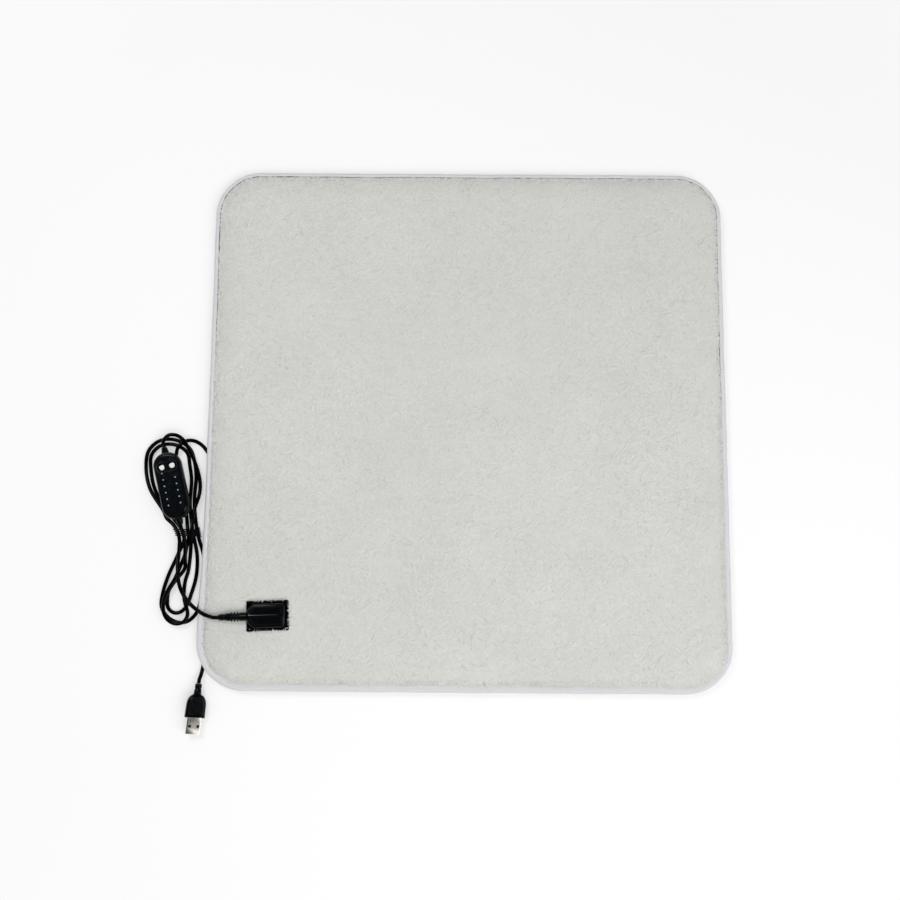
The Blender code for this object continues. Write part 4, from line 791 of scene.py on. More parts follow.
class Repeat:
    """Geometry Nodes that set copies of one small shape along a line or over a surface."""

    def __init__(self, name: str) -> None:
        """Start the tree with its common inputs.

        Args:
            name: The tree's name.
        """
        self.tree = bpy.data.node_groups.new(name, "GeometryNodeTree")
        self.new = partial(add, self.tree)
        numbers = ("Spacing", "Heading", "Heading Spread", "Lean", "Lean Spread", "Size Spread")
        kinds = {
            "Geometry": "Geometry", "Copy": "Object", "Finish": "Material", **dict.fromkeys(numbers, "Float"),
            "Seed": "Int",
        }
        sockets = self.tree.interface
        self.ids = {
            label: sockets.new_socket(label, in_out="INPUT", socket_type="NodeSocket" + kind).identifier
            for label, kind in kinds.items()
        }
        sockets.new_socket("Geometry", in_out="OUTPUT", socket_type="NodeSocketGeometry")
        self.inputs = self.new("NodeGroupInput").outputs

    def random(self, low: Node | NodeSocket, high: Node | NodeSocket, seed: int) -> NodeSocket:
        """A random number for each copy between two values, from the tree's seed.

        Args:
            low: Gives the lower value.
            high: Gives the upper value.
            seed: Number that is added to the tree's seed.

        Returns:
            The output that gives the number.
        """
        shifted = self.new("ShaderNodeMath", {0: self.inputs["Seed"], 1: float(seed)}, operation="ADD")
        return self.new("FunctionNodeRandomValue", {2: low, 3: high, 8: shifted}, data_type="FLOAT").outputs[1]

    def spread(self, label: str, seed: int) -> NodeSocket:
        """A random turn of up to the named input either way.

        Args:
            label: The input's name.
            seed: Number that is added to the tree's seed.

        Returns:
            The output that gives the turn.
        """
        minus = self.new("ShaderNodeMath", {0: self.inputs[label], 1: -1.0}, operation="MULTIPLY")
        return self.random(minus, self.inputs[label], seed)

    def about(self, axis: str, angle: Node) -> Node:
        """A rotation about one axis.

        Args:
            axis: X, Y or Z.
            angle: Gives the angle.

        Returns:
            The node that gives the rotation.
        """
        angles = self.new("ShaderNodeCombineXYZ", {axis: angle})
        return self.new("FunctionNodeEulerToRotation", {0: angles})

    def finish_tree(self, points: Node, facing: Node) -> None:
        """Set a copy on each point, leaning as its inputs say, and end in plain meshes with the finish.

        Args:
            points: Gives the points.
            facing: Gives the rotation of each before its lean.
        """
        new, inputs = self.new, self.inputs
        lean = new("ShaderNodeMath", {0: inputs["Lean"], 1: self.spread("Lean Spread", 11)}, operation="ADD")
        raised = new("ShaderNodeMath", {0: lean, 1: -1.0}, operation="MULTIPLY")
        rotation = new(
            "FunctionNodeRotateRotation", {"Rotation": facing, "Rotate By": self.about("Y", raised)},
            rotation_space="LOCAL",
        )
        low, high = (
            new("ShaderNodeMath", {0: 1.0, 1: inputs["Size Spread"]}, operation=step) for step in ("SUBTRACT", "ADD")
        )
        size = new("ShaderNodeCombineXYZ", {axis: self.random(low, high, seed) for axis, seed in zip("XYZ", (3, 4, 5))})
        shape = new("GeometryNodeObjectInfo", {"Object": inputs["Copy"]}).outputs["Geometry"]
        copies = new(
            "GeometryNodeInstanceOnPoints", {"Points": points, "Instance": shape, "Rotation": rotation, "Scale": size}
        )
        real = new("GeometryNodeRealizeInstances", {"Geometry": copies})
        dressed = new("GeometryNodeSetMaterial", {"Geometry": real, "Material": inputs["Finish"]})
        new("NodeGroupOutput", {"Geometry": dressed})

    def run(
        self, name: str, base: Object, copy: Object, finish: Finish, sizes: dict[str, float], smooth: float = 60.0
    ) -> Object:
        """Run the tree on a base and keep the copies as one plain mesh.

        Args:
            name: The piece's name.
            base: Line or surface that carries the copies. It is removed.
            copy: Shape that is repeated.
            finish: Surface of the copies.
            sizes: Values for the tree's named inputs.
            smooth: Edges sharper than this many degrees stay sharp.

        Returns:
            The new piece.
        """
        step = base.modifiers.new(name, "NODES")
        step.node_group = self.tree
        for label, value in {"Copy": copy, "Finish": finish.material(), **sizes}.items():
            step[self.ids[label]] = value
        mesh = plain(base)
        bpy.data.objects.remove(base, do_unlink=True)
        return linked(name, mesh, finish, smooth)


class RowRepeat(Repeat):
    """Copies a spacing apart along a line, heading along it or turned from it."""

    def __init__(self) -> None:
        """Build the tree."""
        super().__init__("copies_along_a_line")
        new, inputs = self.new, self.inputs
        line = new("GeometryNodeMeshToCurve", {"Mesh": inputs["Geometry"]})
        spots = new("GeometryNodeCurveToPoints", {"Curve": line, "Length": inputs["Spacing"]}, mode="LENGTH")
        along = new(
            "FunctionNodeAlignRotationToVector", {"Vector": spots.outputs["Tangent"]}, axis="X", pivot_axis="Z"
        )
        heading = new("ShaderNodeMath", {0: inputs["Heading"], 1: self.spread("Heading Spread", 2)}, operation="ADD")
        facing = new(
            "FunctionNodeRotateRotation", {"Rotation": along, "Rotate By": self.about("Z", heading)},
            rotation_space="LOCAL",
        )
        self.finish_tree(spots, facing)


class SurfaceRepeat(Repeat):
    """Copies a spacing apart over a surface, leaning one way or the other in small patches."""

    def __init__(self, patches_per_metre: float = 85.0) -> None:
        """Build the tree.

        Args:
            patches_per_metre: Scale of the patches.
        """
        super().__init__("copies_over_a_surface")
        new, inputs = self.new, self.inputs
        density = new("ShaderNodeMath", {0: inputs["Spacing"], 1: -2.0}, operation="POWER")
        spots = new(
            "GeometryNodeDistributePointsOnFaces",
            {"Mesh": inputs["Geometry"], "Distance Min": inputs["Spacing"], "Density Max": density,
             "Seed": inputs["Seed"]},
            distribute_method="POISSON",
        )
        where = new("GeometryNodeInputPosition")
        patches = new("ShaderNodeTexNoise", {"Vector": where, "Scale": patches_per_metre, "Detail": 1.0})
        # Two leans of the pile, 90 degrees apart, with a short change between them
        either = new(
            "ShaderNodeMapRange",
            {"Value": patches, "From Min": 0.46, "From Max": 0.54, "To Min": -math.pi / 4, "To Max": math.pi / 4},
        )
        leaning = new("ShaderNodeMath", {0: inputs["Heading"], 1: either}, operation="ADD")
        heading = new("ShaderNodeMath", {0: leaning, 1: self.spread("Heading Spread", 2)}, operation="ADD")
        facing = new(
            "FunctionNodeAlignRotationToVector",
            {"Rotation": self.about("Z", heading), "Vector": spots.outputs["Normal"]}, axis="Z",
        )
        self.finish_tree(spots, facing)


def line_base(name: str, points: np.ndarray, closed: bool = True) -> Object:
    """A line of edges that carries copies.

    Args:
        name: The object's name.
        points: Its points.
        closed: Join the last to the first.

    Returns:
        The line's object.
    """
    count = len(points)
    edges = [(i, (i + 1) % count) for i in range(count if closed else count - 1)]
    return in_scene(name, meshed(name, [tuple(point) for point in points], [], edges))


# ---------------------------------------------------------------- studio


@dataclass(frozen=True)
class Lamp:
    """A square lamp that adds a level of light to a surface that faces up where it aims."""

    name: str
    spot: Point
    aim: Point
    size: float
    level: float
    mirrored: bool = True

    def build(self) -> None:
        """Make the lamp. What is glossy reflects it where it is mirrored."""
        way = Vector(self.aim) - Vector(self.spot)
        data = bpy.data.lights.new(self.name, "AREA")
        data.shape, data.size = "SQUARE", self.size
        data.energy = self.level * (math.pi * way.length) ** 2 / -way.normalized().z
        thing = in_scene(self.name, data)
        thing.matrix_world = Matrix.Translation(self.spot) @ way.to_track_quat("-Z", "Y").to_matrix().to_4x4()
        thing.visible_glossy = self.mirrored


@dataclass
class Studio:
    """White table, soft light and the camera at the photograph's viewing angle."""

    focal_share: float = 1100 / 900
    sensor: float = 36.0
    clip: tuple[float, float] = (0.01, 20.0)
    distance: float = 0.95938
    tilt: float = math.radians(8.2765)
    turn: float = math.radians(1.6674)
    roll: float = math.radians(-1.2354)
    aim: tuple[float, float] = (-0.014646, -0.021181)
    room: float = 0.47
    ceiling: float = 0.03
    walls: tuple[float, float] = (0.08, 0.30)
    table_half: float = 3.0
    table_glow: float = 0.42
    shadow_reach: tuple[float, float] = (0.45, 0.9)
    lamps: tuple[Lamp, ...] = (
        Lamp("window", (1.3, -0.55, 1.4), (0.0, 0.0, 0.0), 0.9, 0.12),
        Lamp("sky", (0.35, -0.9, 1.35), (0.05, -0.1, 0.0), 0.9, 0.32, mirrored=False),
        Lamp("key", (-0.58, 0.44, 1.17), (-0.15, -0.02, 0.0), 0.34, 0.20),
    )

    def camera(self) -> None:
        """Make the camera from its distance, tilt, turn and roll about the point that it aims at."""
        back = Vector((
            math.sin(self.turn) * math.sin(self.tilt), -math.cos(self.turn) * math.sin(self.tilt),
            math.cos(self.tilt),
        ))
        up = Vector((
            -math.sin(self.turn) * math.cos(self.tilt), math.cos(self.turn) * math.cos(self.tilt),
            math.sin(self.tilt),
        ))
        right = up.cross(back)
        cosine, sine = math.cos(self.roll), math.sin(self.roll)
        right, up = cosine * right + sine * up, cosine * up - sine * right
        eye = Vector((*self.aim, 0.0)) + back * self.distance
        data = bpy.data.cameras.new("camera")
        data.sensor_width = self.sensor
        data.lens = self.sensor * self.focal_share
        data.clip_start, data.clip_end = self.clip
        thing = in_scene("camera", data)
        thing.matrix_world = Matrix((
            (right.x, up.x, back.x, eye.x), (right.y, up.y, back.y, eye.y), (right.z, up.z, back.z, eye.z),
            (0, 0, 0, 1),
        ))
        bpy.context.scene.camera = thing

    def sees_background(self, tree: NodeTree) -> Node:
        """One for the rays that see the background itself: camera, gloss and transmission.

        Args:
            tree: Tree that gets the nodes.

        Returns:
            The node that gives one or nought.
        """
        rays = add(tree, "ShaderNodeLightPath").outputs
        first = add(tree, "ShaderNodeMath", {0: rays["Is Camera Ray"], 1: rays["Is Glossy Ray"]}, operation="MAXIMUM")
        return add(tree, "ShaderNodeMath", {0: first, 1: rays["Is Transmission Ray"]}, operation="MAXIMUM")

    def world(self) -> None:
        """An even light from all round. What reflects it sees white walls under a dark ceiling."""
        world = bpy.data.worlds.new("studio")
        world.use_nodes = True
        new = partial(add, world.node_tree)
        direction = new("ShaderNodeTexCoord").outputs["Generated"]
        height = new("ShaderNodeSeparateXYZ", {"Vector": direction}).outputs["Z"]
        low, high = self.walls
        wall = new(
            "ShaderNodeMapRange",
            {"Value": height, "From Min": low, "From Max": high, "To Min": 1.0, "To Max": self.ceiling},
        )
        camera_ray = new("ShaderNodeLightPath").outputs["Is Camera Ray"]
        shown = new("ShaderNodeMath", {0: wall, 1: camera_ray}, operation="MAXIMUM")
        seen = self.sees_background(world.node_tree)
        level = new("ShaderNodeMix", {"Factor": seen, "A": self.room, "B": shown}, data_type="FLOAT")
        feed(world.node_tree.nodes["Background"], {"Color": (1.0, 1.0, 1.0, 1.0), "Strength": level})
        bpy.context.scene.world = world

    def table(self) -> None:
        """A plain white table that keeps a soft shadow."""
        half = self.table_half
        corners = [(x * half, y * half, -GAP) for x, y in ((-1, -1), (1, -1), (1, 1), (-1, 1))]
        thing = in_scene("table", meshed("table", corners, [(0, 1, 2, 3)]))
        finish = bpy.data.materials.new("table_white_paper")
        finish.use_nodes = True
        tree = finish.node_tree
        tree.nodes.remove(tree.nodes["Principled BSDF"])
        new = partial(add, tree)
        paper = new("ShaderNodeBsdfDiffuse", {"Color": linear("#fafafa")})
        glow = new("ShaderNodeEmission", {"Color": linear("#ffffff"), "Strength": 1.0})
        spot = new("ShaderNodeTexCoord").outputs["Object"]
        away = new("ShaderNodeVectorMath", {0: spot}, operation="LENGTH").outputs["Value"]
        near, far = self.shadow_reach
        bare = new(
            "ShaderNodeMapRange",
            {"Value": away, "From Min": near, "From Max": far, "To Min": self.table_glow, "To Max": 1.0},
        )
        share = new("ShaderNodeMath", {0: self.sees_background(tree), 1: bare}, operation="MULTIPLY")
        both = new("ShaderNodeMixShader", {0: share, 1: paper, 2: glow})
        feed(tree.nodes["Material Output"], {"Surface": both})
        thing.data.materials.append(finish)

    def build(self) -> None:
        """Set up camera, room, table and lamps."""
        self.camera()
        self.world()
        self.table()
        for lamp in self.lamps:
            lamp.build()
        bpy.context.scene.view_settings.view_transform = "Standard"


# ---------------------------------------------------------------- lead


@dataclass
class LeadPlaces:
    """Frames of the plug, controller and USB plug, which the lead joins."""

    tray_spot: tuple[float, float] = (-0.1670, -0.1652)
    tray_turn: float = math.radians(2.5)
    case_spot: Point = (-0.2530, -0.0556, 0.0105)
    case_lean: float = math.radians(14.2)
    usb_spot: Point = (-0.2244, -0.2222, 0.0062)
    usb_turn: float = math.radians(5.2)
    usb_roll: float = math.radians(21.0)

    @property
    def tray(self) -> Matrix:
        """Frame of the tray and the plug."""
        return Matrix.Translation((*self.tray_spot, 0)) @ Matrix.Rotation(self.tray_turn, 4, "Z")

    @property
    def case(self) -> Matrix:
        """Frame of the controller, at its parting line."""
        return Matrix.Translation(self.case_spot) @ Matrix.Rotation(self.case_lean, 4, "Z")

    @property
    def usb(self) -> Matrix:
        """Frame of the USB plug, at the tip of its boot."""
        turn = Matrix.Rotation(-self.usb_turn, 4, "Z") @ Matrix.Rotation(self.usb_roll, 4, "Y")
        return Matrix.Translation(self.usb_spot) @ turn


PLACES = LeadPlaces()


@dataclass(frozen=True)
class Lobe:
    """One loop of the hank, from the waist out round its tip and back. Pairs hold the way out and the way back."""

    tip: tuple[float, float]
    bend: tuple[float, float]
    halves: tuple[float, float]
    full_shares: tuple[float, float]
    round_shares: tuple[float, float]
    waists: tuple[float, float]


@dataclass
class Lead:
    """The cords: from the plug through the hank to the controller, and on to the USB plug."""

    diameter: float = 0.0033
    step: float = 0.0022
    loop_points: int = 24
    waist: tuple[float, float] = (-0.2372, -0.0952)
    waist_flat: float = 0.0045
    waist_rise_length: float = 0.0090
    lobe_ease: float = 1.3
    start_rise: float = 0.0034
    start_rise_share: float = 0.62
    start_ease: float = 0.7
    last_share: float = 0.80
    tie_diameter: float = 0.0011
    tie_turns: int = 4
    tie_pitch: float = 0.0016
    tie_points: int = 48
    tie_reach: float = 0.0120
    tie_tail: float = 0.0045
    boot_end: float = -0.0408
    boot_level: float = 0.0174
    case_half: float = 0.02925
    case_boot: float = 0.0046

    # In the order that they are wound: above, below, above, below
    lobes = (
        Lobe((-0.2590, -0.0136), (-0.2605, -0.0494), (0.0212, 0.0210), (0.60, 0.60), (0.73, 0.73), (0.0078, 0.0061)),
        Lobe((-0.2450, -0.1716), (-0.2370, -0.1330), (0.0148, 0.0184), (0.42, 0.74), (0.76, 0.79), (0.0061, 0.0059)),
        Lobe((-0.2585, -0.0180), (-0.2600, -0.0510), (0.0172, 0.0166), (0.60, 0.60), (0.79, 0.79), (0.0059, 0.0023)),
        Lobe((-0.2502, -0.1630), (-0.2362, -0.1330), (0.0088, 0.0090), (0.44, 0.74), (0.84, 0.85), (0.0023, 0.0059)),
    )

    plug_route = (
        (-0.2136, -0.1668, 0.01540), (-0.2204, -0.1648, 0.01284), (-0.2269, -0.1612, 0.01123),
        (-0.2327, -0.1569, 0.00889), (-0.2379, -0.1515, 0.00788), (-0.2421, -0.1452, 0.00700),
        (-0.2445, -0.1381, 0.00764), (-0.2453, -0.1307, 0.00939), (-0.2461, -0.1234, 0.00776),
        (-0.2460, -0.1159, 0.00642), (-0.2456, -0.1083, 0.00652), (-0.2457, -0.1008, 0.00543),
        (-0.2480, -0.0936, 0.00469), (-0.2526, -0.0876, 0.00505), (-0.2582, -0.0827, 0.00451),
    )
    controller_route = (
        (-0.2544, -0.1454, 0.00165), (-0.2505, -0.1384, 0.00165), (-0.2455, -0.1320, 0.00165),
        (-0.2410, -0.1255, 0.00282), (-0.2406, -0.1180, 0.00534), (-0.2406, -0.1100, 0.00607),
        (-0.2412, -0.1021, 0.00723), (-0.2429, -0.0945, 0.00907),
    )
    usb_route = (
        (-0.2629, -0.0167, 0.00884), (-0.2592, -0.0111, 0.00729), (-0.2519, -0.0111, 0.00756),
        (-0.2459, -0.0150, 0.00923), (-0.2420, -0.0210, 0.00738), (-0.2386, -0.0275, 0.00600),
        (-0.2355, -0.0343, 0.00576), (-0.2330, -0.0413, 0.00506), (-0.2312, -0.0485, 0.00394),
        (-0.2306, -0.0559, 0.00299), (-0.2312, -0.0633, 0.00358), (-0.2328, -0.0704, 0.00559),
        (-0.2345, -0.0775, 0.00677), (-0.2352, -0.0849, 0.00657), (-0.2351, -0.0924, 0.00591),
        (-0.2352, -0.0998, 0.00578), (-0.2359, -0.1069, 0.00516), (-0.2367, -0.1138, 0.00293),
        (-0.2375, -0.1212, 0.00172), (-0.2383, -0.1285, 0.00165), (-0.2403, -0.1357, 0.00165),
        (-0.2411, -0.1432, 0.00187), (-0.2405, -0.1504, 0.00350), (-0.2383, -0.1571, 0.00584),
        (-0.2364, -0.1643, 0.00529), (-0.2392, -0.1708, 0.00590), (-0.2463, -0.1726, 0.00567),
        (-0.2529, -0.1695, 0.00562), (-0.2567, -0.1632, 0.00592), (-0.2574, -0.1558, 0.00544),
        (-0.2557, -0.1485, 0.00585), (-0.2524, -0.1418, 0.00592), (-0.2487, -0.1353, 0.00590),
        (-0.2461, -0.1283, 0.00497), (-0.2443, -0.1217, 0.00213), (-0.2419, -0.1147, 0.00165),
        (-0.2404, -0.1074, 0.00166), (-0.2387, -0.1002, 0.00165), (-0.2396, -0.0930, 0.00163),
        (-0.2408, -0.0858, 0.00166), (-0.2421, -0.0785, 0.00165), (-0.2442, -0.0713, 0.00165),
        (-0.2461, -0.0641, 0.00165), (-0.2480, -0.0568, 0.00165), (-0.2498, -0.0495, 0.00165),
        (-0.2514, -0.0422, 0.00165), (-0.2526, -0.0348, 0.00177), (-0.2526, -0.0275, 0.00303),
        (-0.2504, -0.0210, 0.00582), (-0.2451, -0.0160, 0.00501), (-0.2382, -0.0150, 0.00260),
        (-0.2316, -0.0182, 0.00166), (-0.2265, -0.0237, 0.00165), (-0.2227, -0.0301, 0.00165),
        (-0.2205, -0.0372, 0.00165), (-0.2197, -0.0447, 0.00165), (-0.2195, -0.0522, 0.00165),
        (-0.2195, -0.0597, 0.00165), (-0.2195, -0.0672, 0.00165), (-0.2195, -0.0747, 0.00165),
        (-0.2195, -0.0821, 0.00166), (-0.2195, -0.0896, 0.00053), (-0.2195, -0.0971, -0.00019),
        (-0.2195, -0.1046, 0.00143), (-0.2195, -0.1121, 0.00165), (-0.2195, -0.1196, 0.00165),
        (-0.2195, -0.1270, 0.00165), (-0.2195, -0.1345, 0.00165), (-0.2196, -0.1420, 0.00165),
        (-0.2196, -0.1495, 0.00165), (-0.2197, -0.1570, 0.00165), (-0.2197, -0.1645, 0.00165),
        (-0.2198, -0.1720, 0.00165), (-0.2201, -0.1795, 0.00165), (-0.2204, -0.1870, 0.00165),
        (-0.2209, -0.1945, 0.00165), (-0.2215, -0.2019, 0.00165), (-0.2224, -0.2093, 0.00219),
        (-0.2236, -0.2164, 0.00429),
    )

    def waist_rise(self, y: float) -> float:
        """How far the tie under the bundle lifts a strand at a place along it."""
        rise = self.tie_diameter + 5 * GAP
        return rise * math.exp(-(((y - self.waist[1]) / self.waist_rise_length) ** 2))

    def lifted(self, route: tuple) -> list[Vector]:
        """A listed route, raised where the tie passes beneath it."""
        return [Vector((x, y, z + self.waist_rise(y))) for x, y, z in route]

    def lobe_point(self, lobe: Lobe, share: float, offset: float) -> Vector:
        """A point beside a lobe's middle line, which bends from the waist to the tip.

        Args:
            lobe: The lobe.
            share: Place along its middle line.
            offset: Distance beside it.

        Returns:
            The point on the table's plane.
        """
        start, bend, tip = Vector(self.waist), Vector(lobe.bend), Vector(lobe.tip)
        spot = start * (1 - share) ** 2 + bend * 2 * share * (1 - share) + tip * share**2
        heading = ((bend - start) * 2 * (1 - share) + (tip - bend) * 2 * share).normalized()
        side = Vector((heading.y, -heading.x)) if tip.y > start.y else Vector((-heading.y, heading.x))
        return spot + side * offset

    def lobe_offset(self, lobe: Lobe, part: int, share: float) -> float:
        """Distance of a strand from the middle line: drawn in at the waist, round at the tip.

        Args:
            lobe: The lobe.
            part: Nought on the way out, one on the way back.
            share: Place along its middle line.

        Returns:
            The distance.
        """
        waist, half, full, turn = (
            pair[part] for pair in (lobe.waists, lobe.halves, lobe.full_shares, lobe.round_shares)
        )
        if share > turn:
            return half * math.sqrt(max(0.0, 1 - ((share - turn) / (1 - turn)) ** 2))
        flat = self.waist_flat / abs(Vector(lobe.tip).y - self.waist[1])
        eased = min(1.0, max(0.0, share - flat) / (full - flat))
        return waist + (half - waist) * math.sin(math.pi / 2 * eased) ** self.lobe_ease

    def hank(self) -> list[Vector]:
        """The hank's two turns: up the left, over the top, down through the waist and round below.

        Returns:
            Points along its middle line.
        """
        points: list[Vector] = []
        quarter = self.loop_points // 4
        for number, lobe in enumerate(self.lobes):
            for step in range(2 * quarter):
                share = math.sin(math.pi * step / (2 * quarter))
                back = step > quarter
                if number == 3 and back and share < self.last_share:
                    break
                if number == 0 and step == 0:
                    continue
                upper = number % 2 == 0
                offset = self.lobe_offset(lobe, int(back), share)
                spot = self.lobe_point(lobe, share, offset if back == upper else -offset)
                level = self.diameter / 2
                if number == 0 and not back and share < self.start_rise_share:
                    fall = math.cos(math.pi / 2 * share / self.start_rise_share)
                    level += self.start_rise * fall**self.start_ease
                points.append(Vector((spot.x, spot.y, level + self.waist_rise(spot.y))))
        return points

    def case_end(self, side: int, reach: float) -> Vector:
        """A point on the controller's middle line, past one of its ends."""
        return PLACES.case @ Vector((0, side * (self.case_half + reach), 0))

    def paths(self) -> tuple[list[Vector], list[Vector]]:
        """The two cords' lines: plug to controller, and controller to USB plug.

        Returns:
            Evenly spaced points of each.
        """
        start = self.boot_end - GAP
        ends = [PLACES.tray @ Vector((x, 0, self.boot_level)) for x in (start, start - self.diameter)]
        reach = GAP + self.case_boot + GAP
        first = [
            *ends, *self.lifted(self.plug_route), *self.hank(), *[Vector(p) for p in self.controller_route],
            self.case_end(-1, reach + self.diameter), self.case_end(-1, reach),
        ]
        second = [
            self.case_end(1, reach), self.case_end(1, reach + self.diameter), *self.lifted(self.usb_route),
            PLACES.usb @ Vector((0, GAP + self.diameter, 0)), PLACES.usb @ Vector((0, GAP, 0)),
        ]
        return smooth_route(first, self.step), smooth_route(second, self.step)

    def tie(self, paths: tuple[list[Vector], list[Vector]]) -> Object:
        """The thin tie, wound tightly round the bundle of strands, with one short tail.

        Args:
            paths: The cords' lines.

        Returns:
            The tie.
        """
        half = self.tie_turns * self.tie_pitch / 2 + self.diameter
        strands = [
            before.lerp(after, share / 4) for path in paths for before, after in zip(path, path[1:])
            if abs(before.y - self.waist[1]) < half and abs(before.x - self.waist[0]) < self.tie_reach
            for share in range(4)
        ]
        reach = self.diameter / 2 + self.tie_diameter / 2
        points = []
        for step in range(self.tie_turns * self.tie_points + 1):
            angle = 2 * math.pi * step / self.tie_points
            outward = Vector((math.cos(angle), 0, math.sin(angle)))
            along = self.waist[1] + self.tie_pitch * (step / self.tie_points - self.tie_turns / 2)
            near = [strand for strand in strands if abs(strand.y - along) < self.tie_diameter]
            spot = max(near, key=lambda strand: strand.dot(outward)) + outward * reach
            points.append(Vector((spot.x, along, spot.z)))
        tail = points[-1] + Vector((self.tie_tail * 0.1, self.tie_pitch * 0.5, self.tie_tail))
        # Each round of averaging eases the corners where the tie changes strands
        for _ in range(4):
            points = [points[0], *[(a + 2 * b + c) / 4 for a, b, c in zip(points, points[1:], points[2:])], points[-1]]
        return tube("cable_tie_wound", [*points, tail], self.tie_diameter / 2, RUBBER, 8)

    def build(self, controller: list[Object], usb_plug: list[Object]) -> None:
        """Make both cords and their tie, and log each cord's length.

        Args:
            controller: Pieces of the controller.
            usb_plug: Pieces of the USB plug.
        """
        paths = self.paths()
        cords = (
            ("supply_cord", ("plug_cord", "cord_hank", "controller_cord"), "fitting", controller),
            ("usb_lead_cord", ("usb_cord",), "plug", usb_plug),
        )
        for path, (name, nodes, far_end, carried) in zip(paths, cords):
            cord = place(tube(name, path, self.diameter / 2, JACKET), Body.CORD_SET, Slot.CORD, *nodes)
            tuple(path[0])
            path_length(path)
            [tuple(point) for point in path]
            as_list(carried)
            LOG.info("%s is %.3f m long", name, path_length(path))
        place(self.tie(paths), Body.CORD_SET, Slot.CORD, "cable_tie")


# ---------------------------------------------------------------- pad


@dataclass
class PadForm:
    """The pad's outline and levels, shared by all its soft pieces."""

    width: float = 0.450
    depth: float = 0.456
    corner: float = 0.040
    least_corner: float = 0.004
    bulge: float = 0.0025
    bulge_length: float = 0.058
    bulge_share: float = -0.40
    side_points: int = 190
    corner_points: int = 30
    wander: float = 0.00035
    band: float = 0.009
    tape: float = 0.0009
    edge_lift: float = 0.0042
    binding_height: float = 0.0050
    edge_curve: float = 0.020
    least_show: float = 0.0038
    most_show: float = 0.0066
    show_side: tuple[float, float, float] = (0.16, 0.30, 0.55)
    show_low: tuple[float, float, float] = (-0.08, 0.10, 0.45)
    show_corner: float = 0.17
    show_stray: tuple[float, float] = (0.22, 55.0)
    show_limit: float = 1.15
    base_cloth: float = 0.0008
    plush_bottom: float = 0.0090
    plush_top: float = 0.0135
    crown: float = 0.0010

    @property
    def binding_top(self) -> float:
        """Level of the tape's upper face."""
        return self.edge_lift + self.binding_height

    def swell(self, x: np.ndarray, y: np.ndarray) -> np.ndarray:
        """How far the side by the lead bulges at points, fading out towards the other side.

        Args:
            x: Places along X.
            y: Places along Y.

        Returns:
            The distances.
        """
        along = np.exp(-(((y - self.bulge_share * self.depth) / self.bulge_length) ** 2))
        return self.bulge * along * np.maximum(0.0, -2 * x / self.width) ** 6

    def ring(self, inset: float) -> np.ndarray:
        """The outline moved inwards, from the middle of the right side's upper corner, anticlockwise.

        Args:
            inset: Distance inwards.

        Returns:
            Points in rows, as many for any inset.
        """
        radius = max(self.corner - inset, self.least_corner)
        half_x, half_y = self.width / 2 - inset - radius, self.depth / 2 - inset - radius
        centres = [(half_x, half_y), (-half_x, half_y), (-half_x, -half_y), (half_x, -half_y)]
        rows = []
        for quarter, (cx, cy) in enumerate(centres):
            angles = np.pi / 2 * (quarter + np.arange(self.corner_points) / (self.corner_points - 1))
            arc = np.column_stack([cx + radius * np.cos(angles), cy + radius * np.sin(angles)])
            nx, ny = centres[(quarter + 1) % 4]
            end = np.array([nx, ny]) + radius * np.array([np.cos(angles[-1]), np.sin(angles[-1])])
            shares = np.arange(1, self.side_points + 1)[:, None] / (self.side_points + 1)
            rows += [arc, arc[-1] + (end - arc[-1]) * shares]
        points = np.vstack(rows)
        points[:, 0] -= self.swell(*points.T)
        return self.wandered(points)

    def wandered(self, points: np.ndarray) -> np.ndarray:
        """Let the sewn edge stray a little from its line, the same for every inset.

        Args:
            points: A ring.

        Returns:
            The moved ring.
        """
        moved = points.copy()
        for index, (x, y) in enumerate(points):
            turn = math.atan2(y, x)
            spot = Vector((math.cos(turn) * 9.0, math.sin(turn) * 9.0, 0.3))
            stray = noise.noise(spot) + 0.5 * noise.noise(spot * 3.1)
            moved[index] += self.wander * stray * np.array([x, y]) / math.hypot(x, y)
        return moved

    def inset_at(self, x: np.ndarray, y: np.ndarray) -> np.ndarray:
        """Distance of points from the outline, inwards."""
        return -outside(x + self.swell(x, y), y, self.width, self.depth, self.corner)

    def pile_edge(self, further: float = 0.0) -> np.ndarray:
        """Where the pile ends over the tape: it laps far at the top and less at the bottom and lower left.

        Args:
            further: Distance inwards from there.

        Returns:
            A ring.
        """
        near, far = self.ring(self.least_show + further), self.ring(self.most_show + further)
        x, y = near.T
        start, run, most = self.show_side
        share = np.clip((start - y) / run, 0.0, 1.0) * most
        start, run, most = self.show_low
        share += most * np.clip((start - y) / run, 0.0, 1.0) * (x < self.show_corner)
        stray, scale = self.show_stray
        share += [stray * noise.noise(Vector((px * scale, py * scale, 3.0))) for px, py in near]
        return near + (far - near) * np.clip(share, 0.0, self.show_limit)[:, None]

    def shell(self, name: str, profile: Outline, finish: Finish) -> Object:
        """A closed layer from rings at insets and heights.

        Args:
            name: The piece's name.
            profile: Pairs of inset and height, from the underside's middle round to the top's.
            finish: Its surface.

        Returns:
            The new piece.
        """
        return Shape().loft(level_rings(self.ring, profile)).piece(name, finish, smooth=60.0)


@dataclass
class Top:
    """The fleece top's net: its points and heights, its faces, and which points lie on the window's edge."""

    points: np.ndarray
    heights: np.ndarray
    faces: np.ndarray
    near: np.ndarray
    border: list[int]

    @property
    def spots(self) -> list[Point]:
        """The points with their heights."""
        return [(x, y, z) for (x, y), z in zip(self.points, self.heights)]


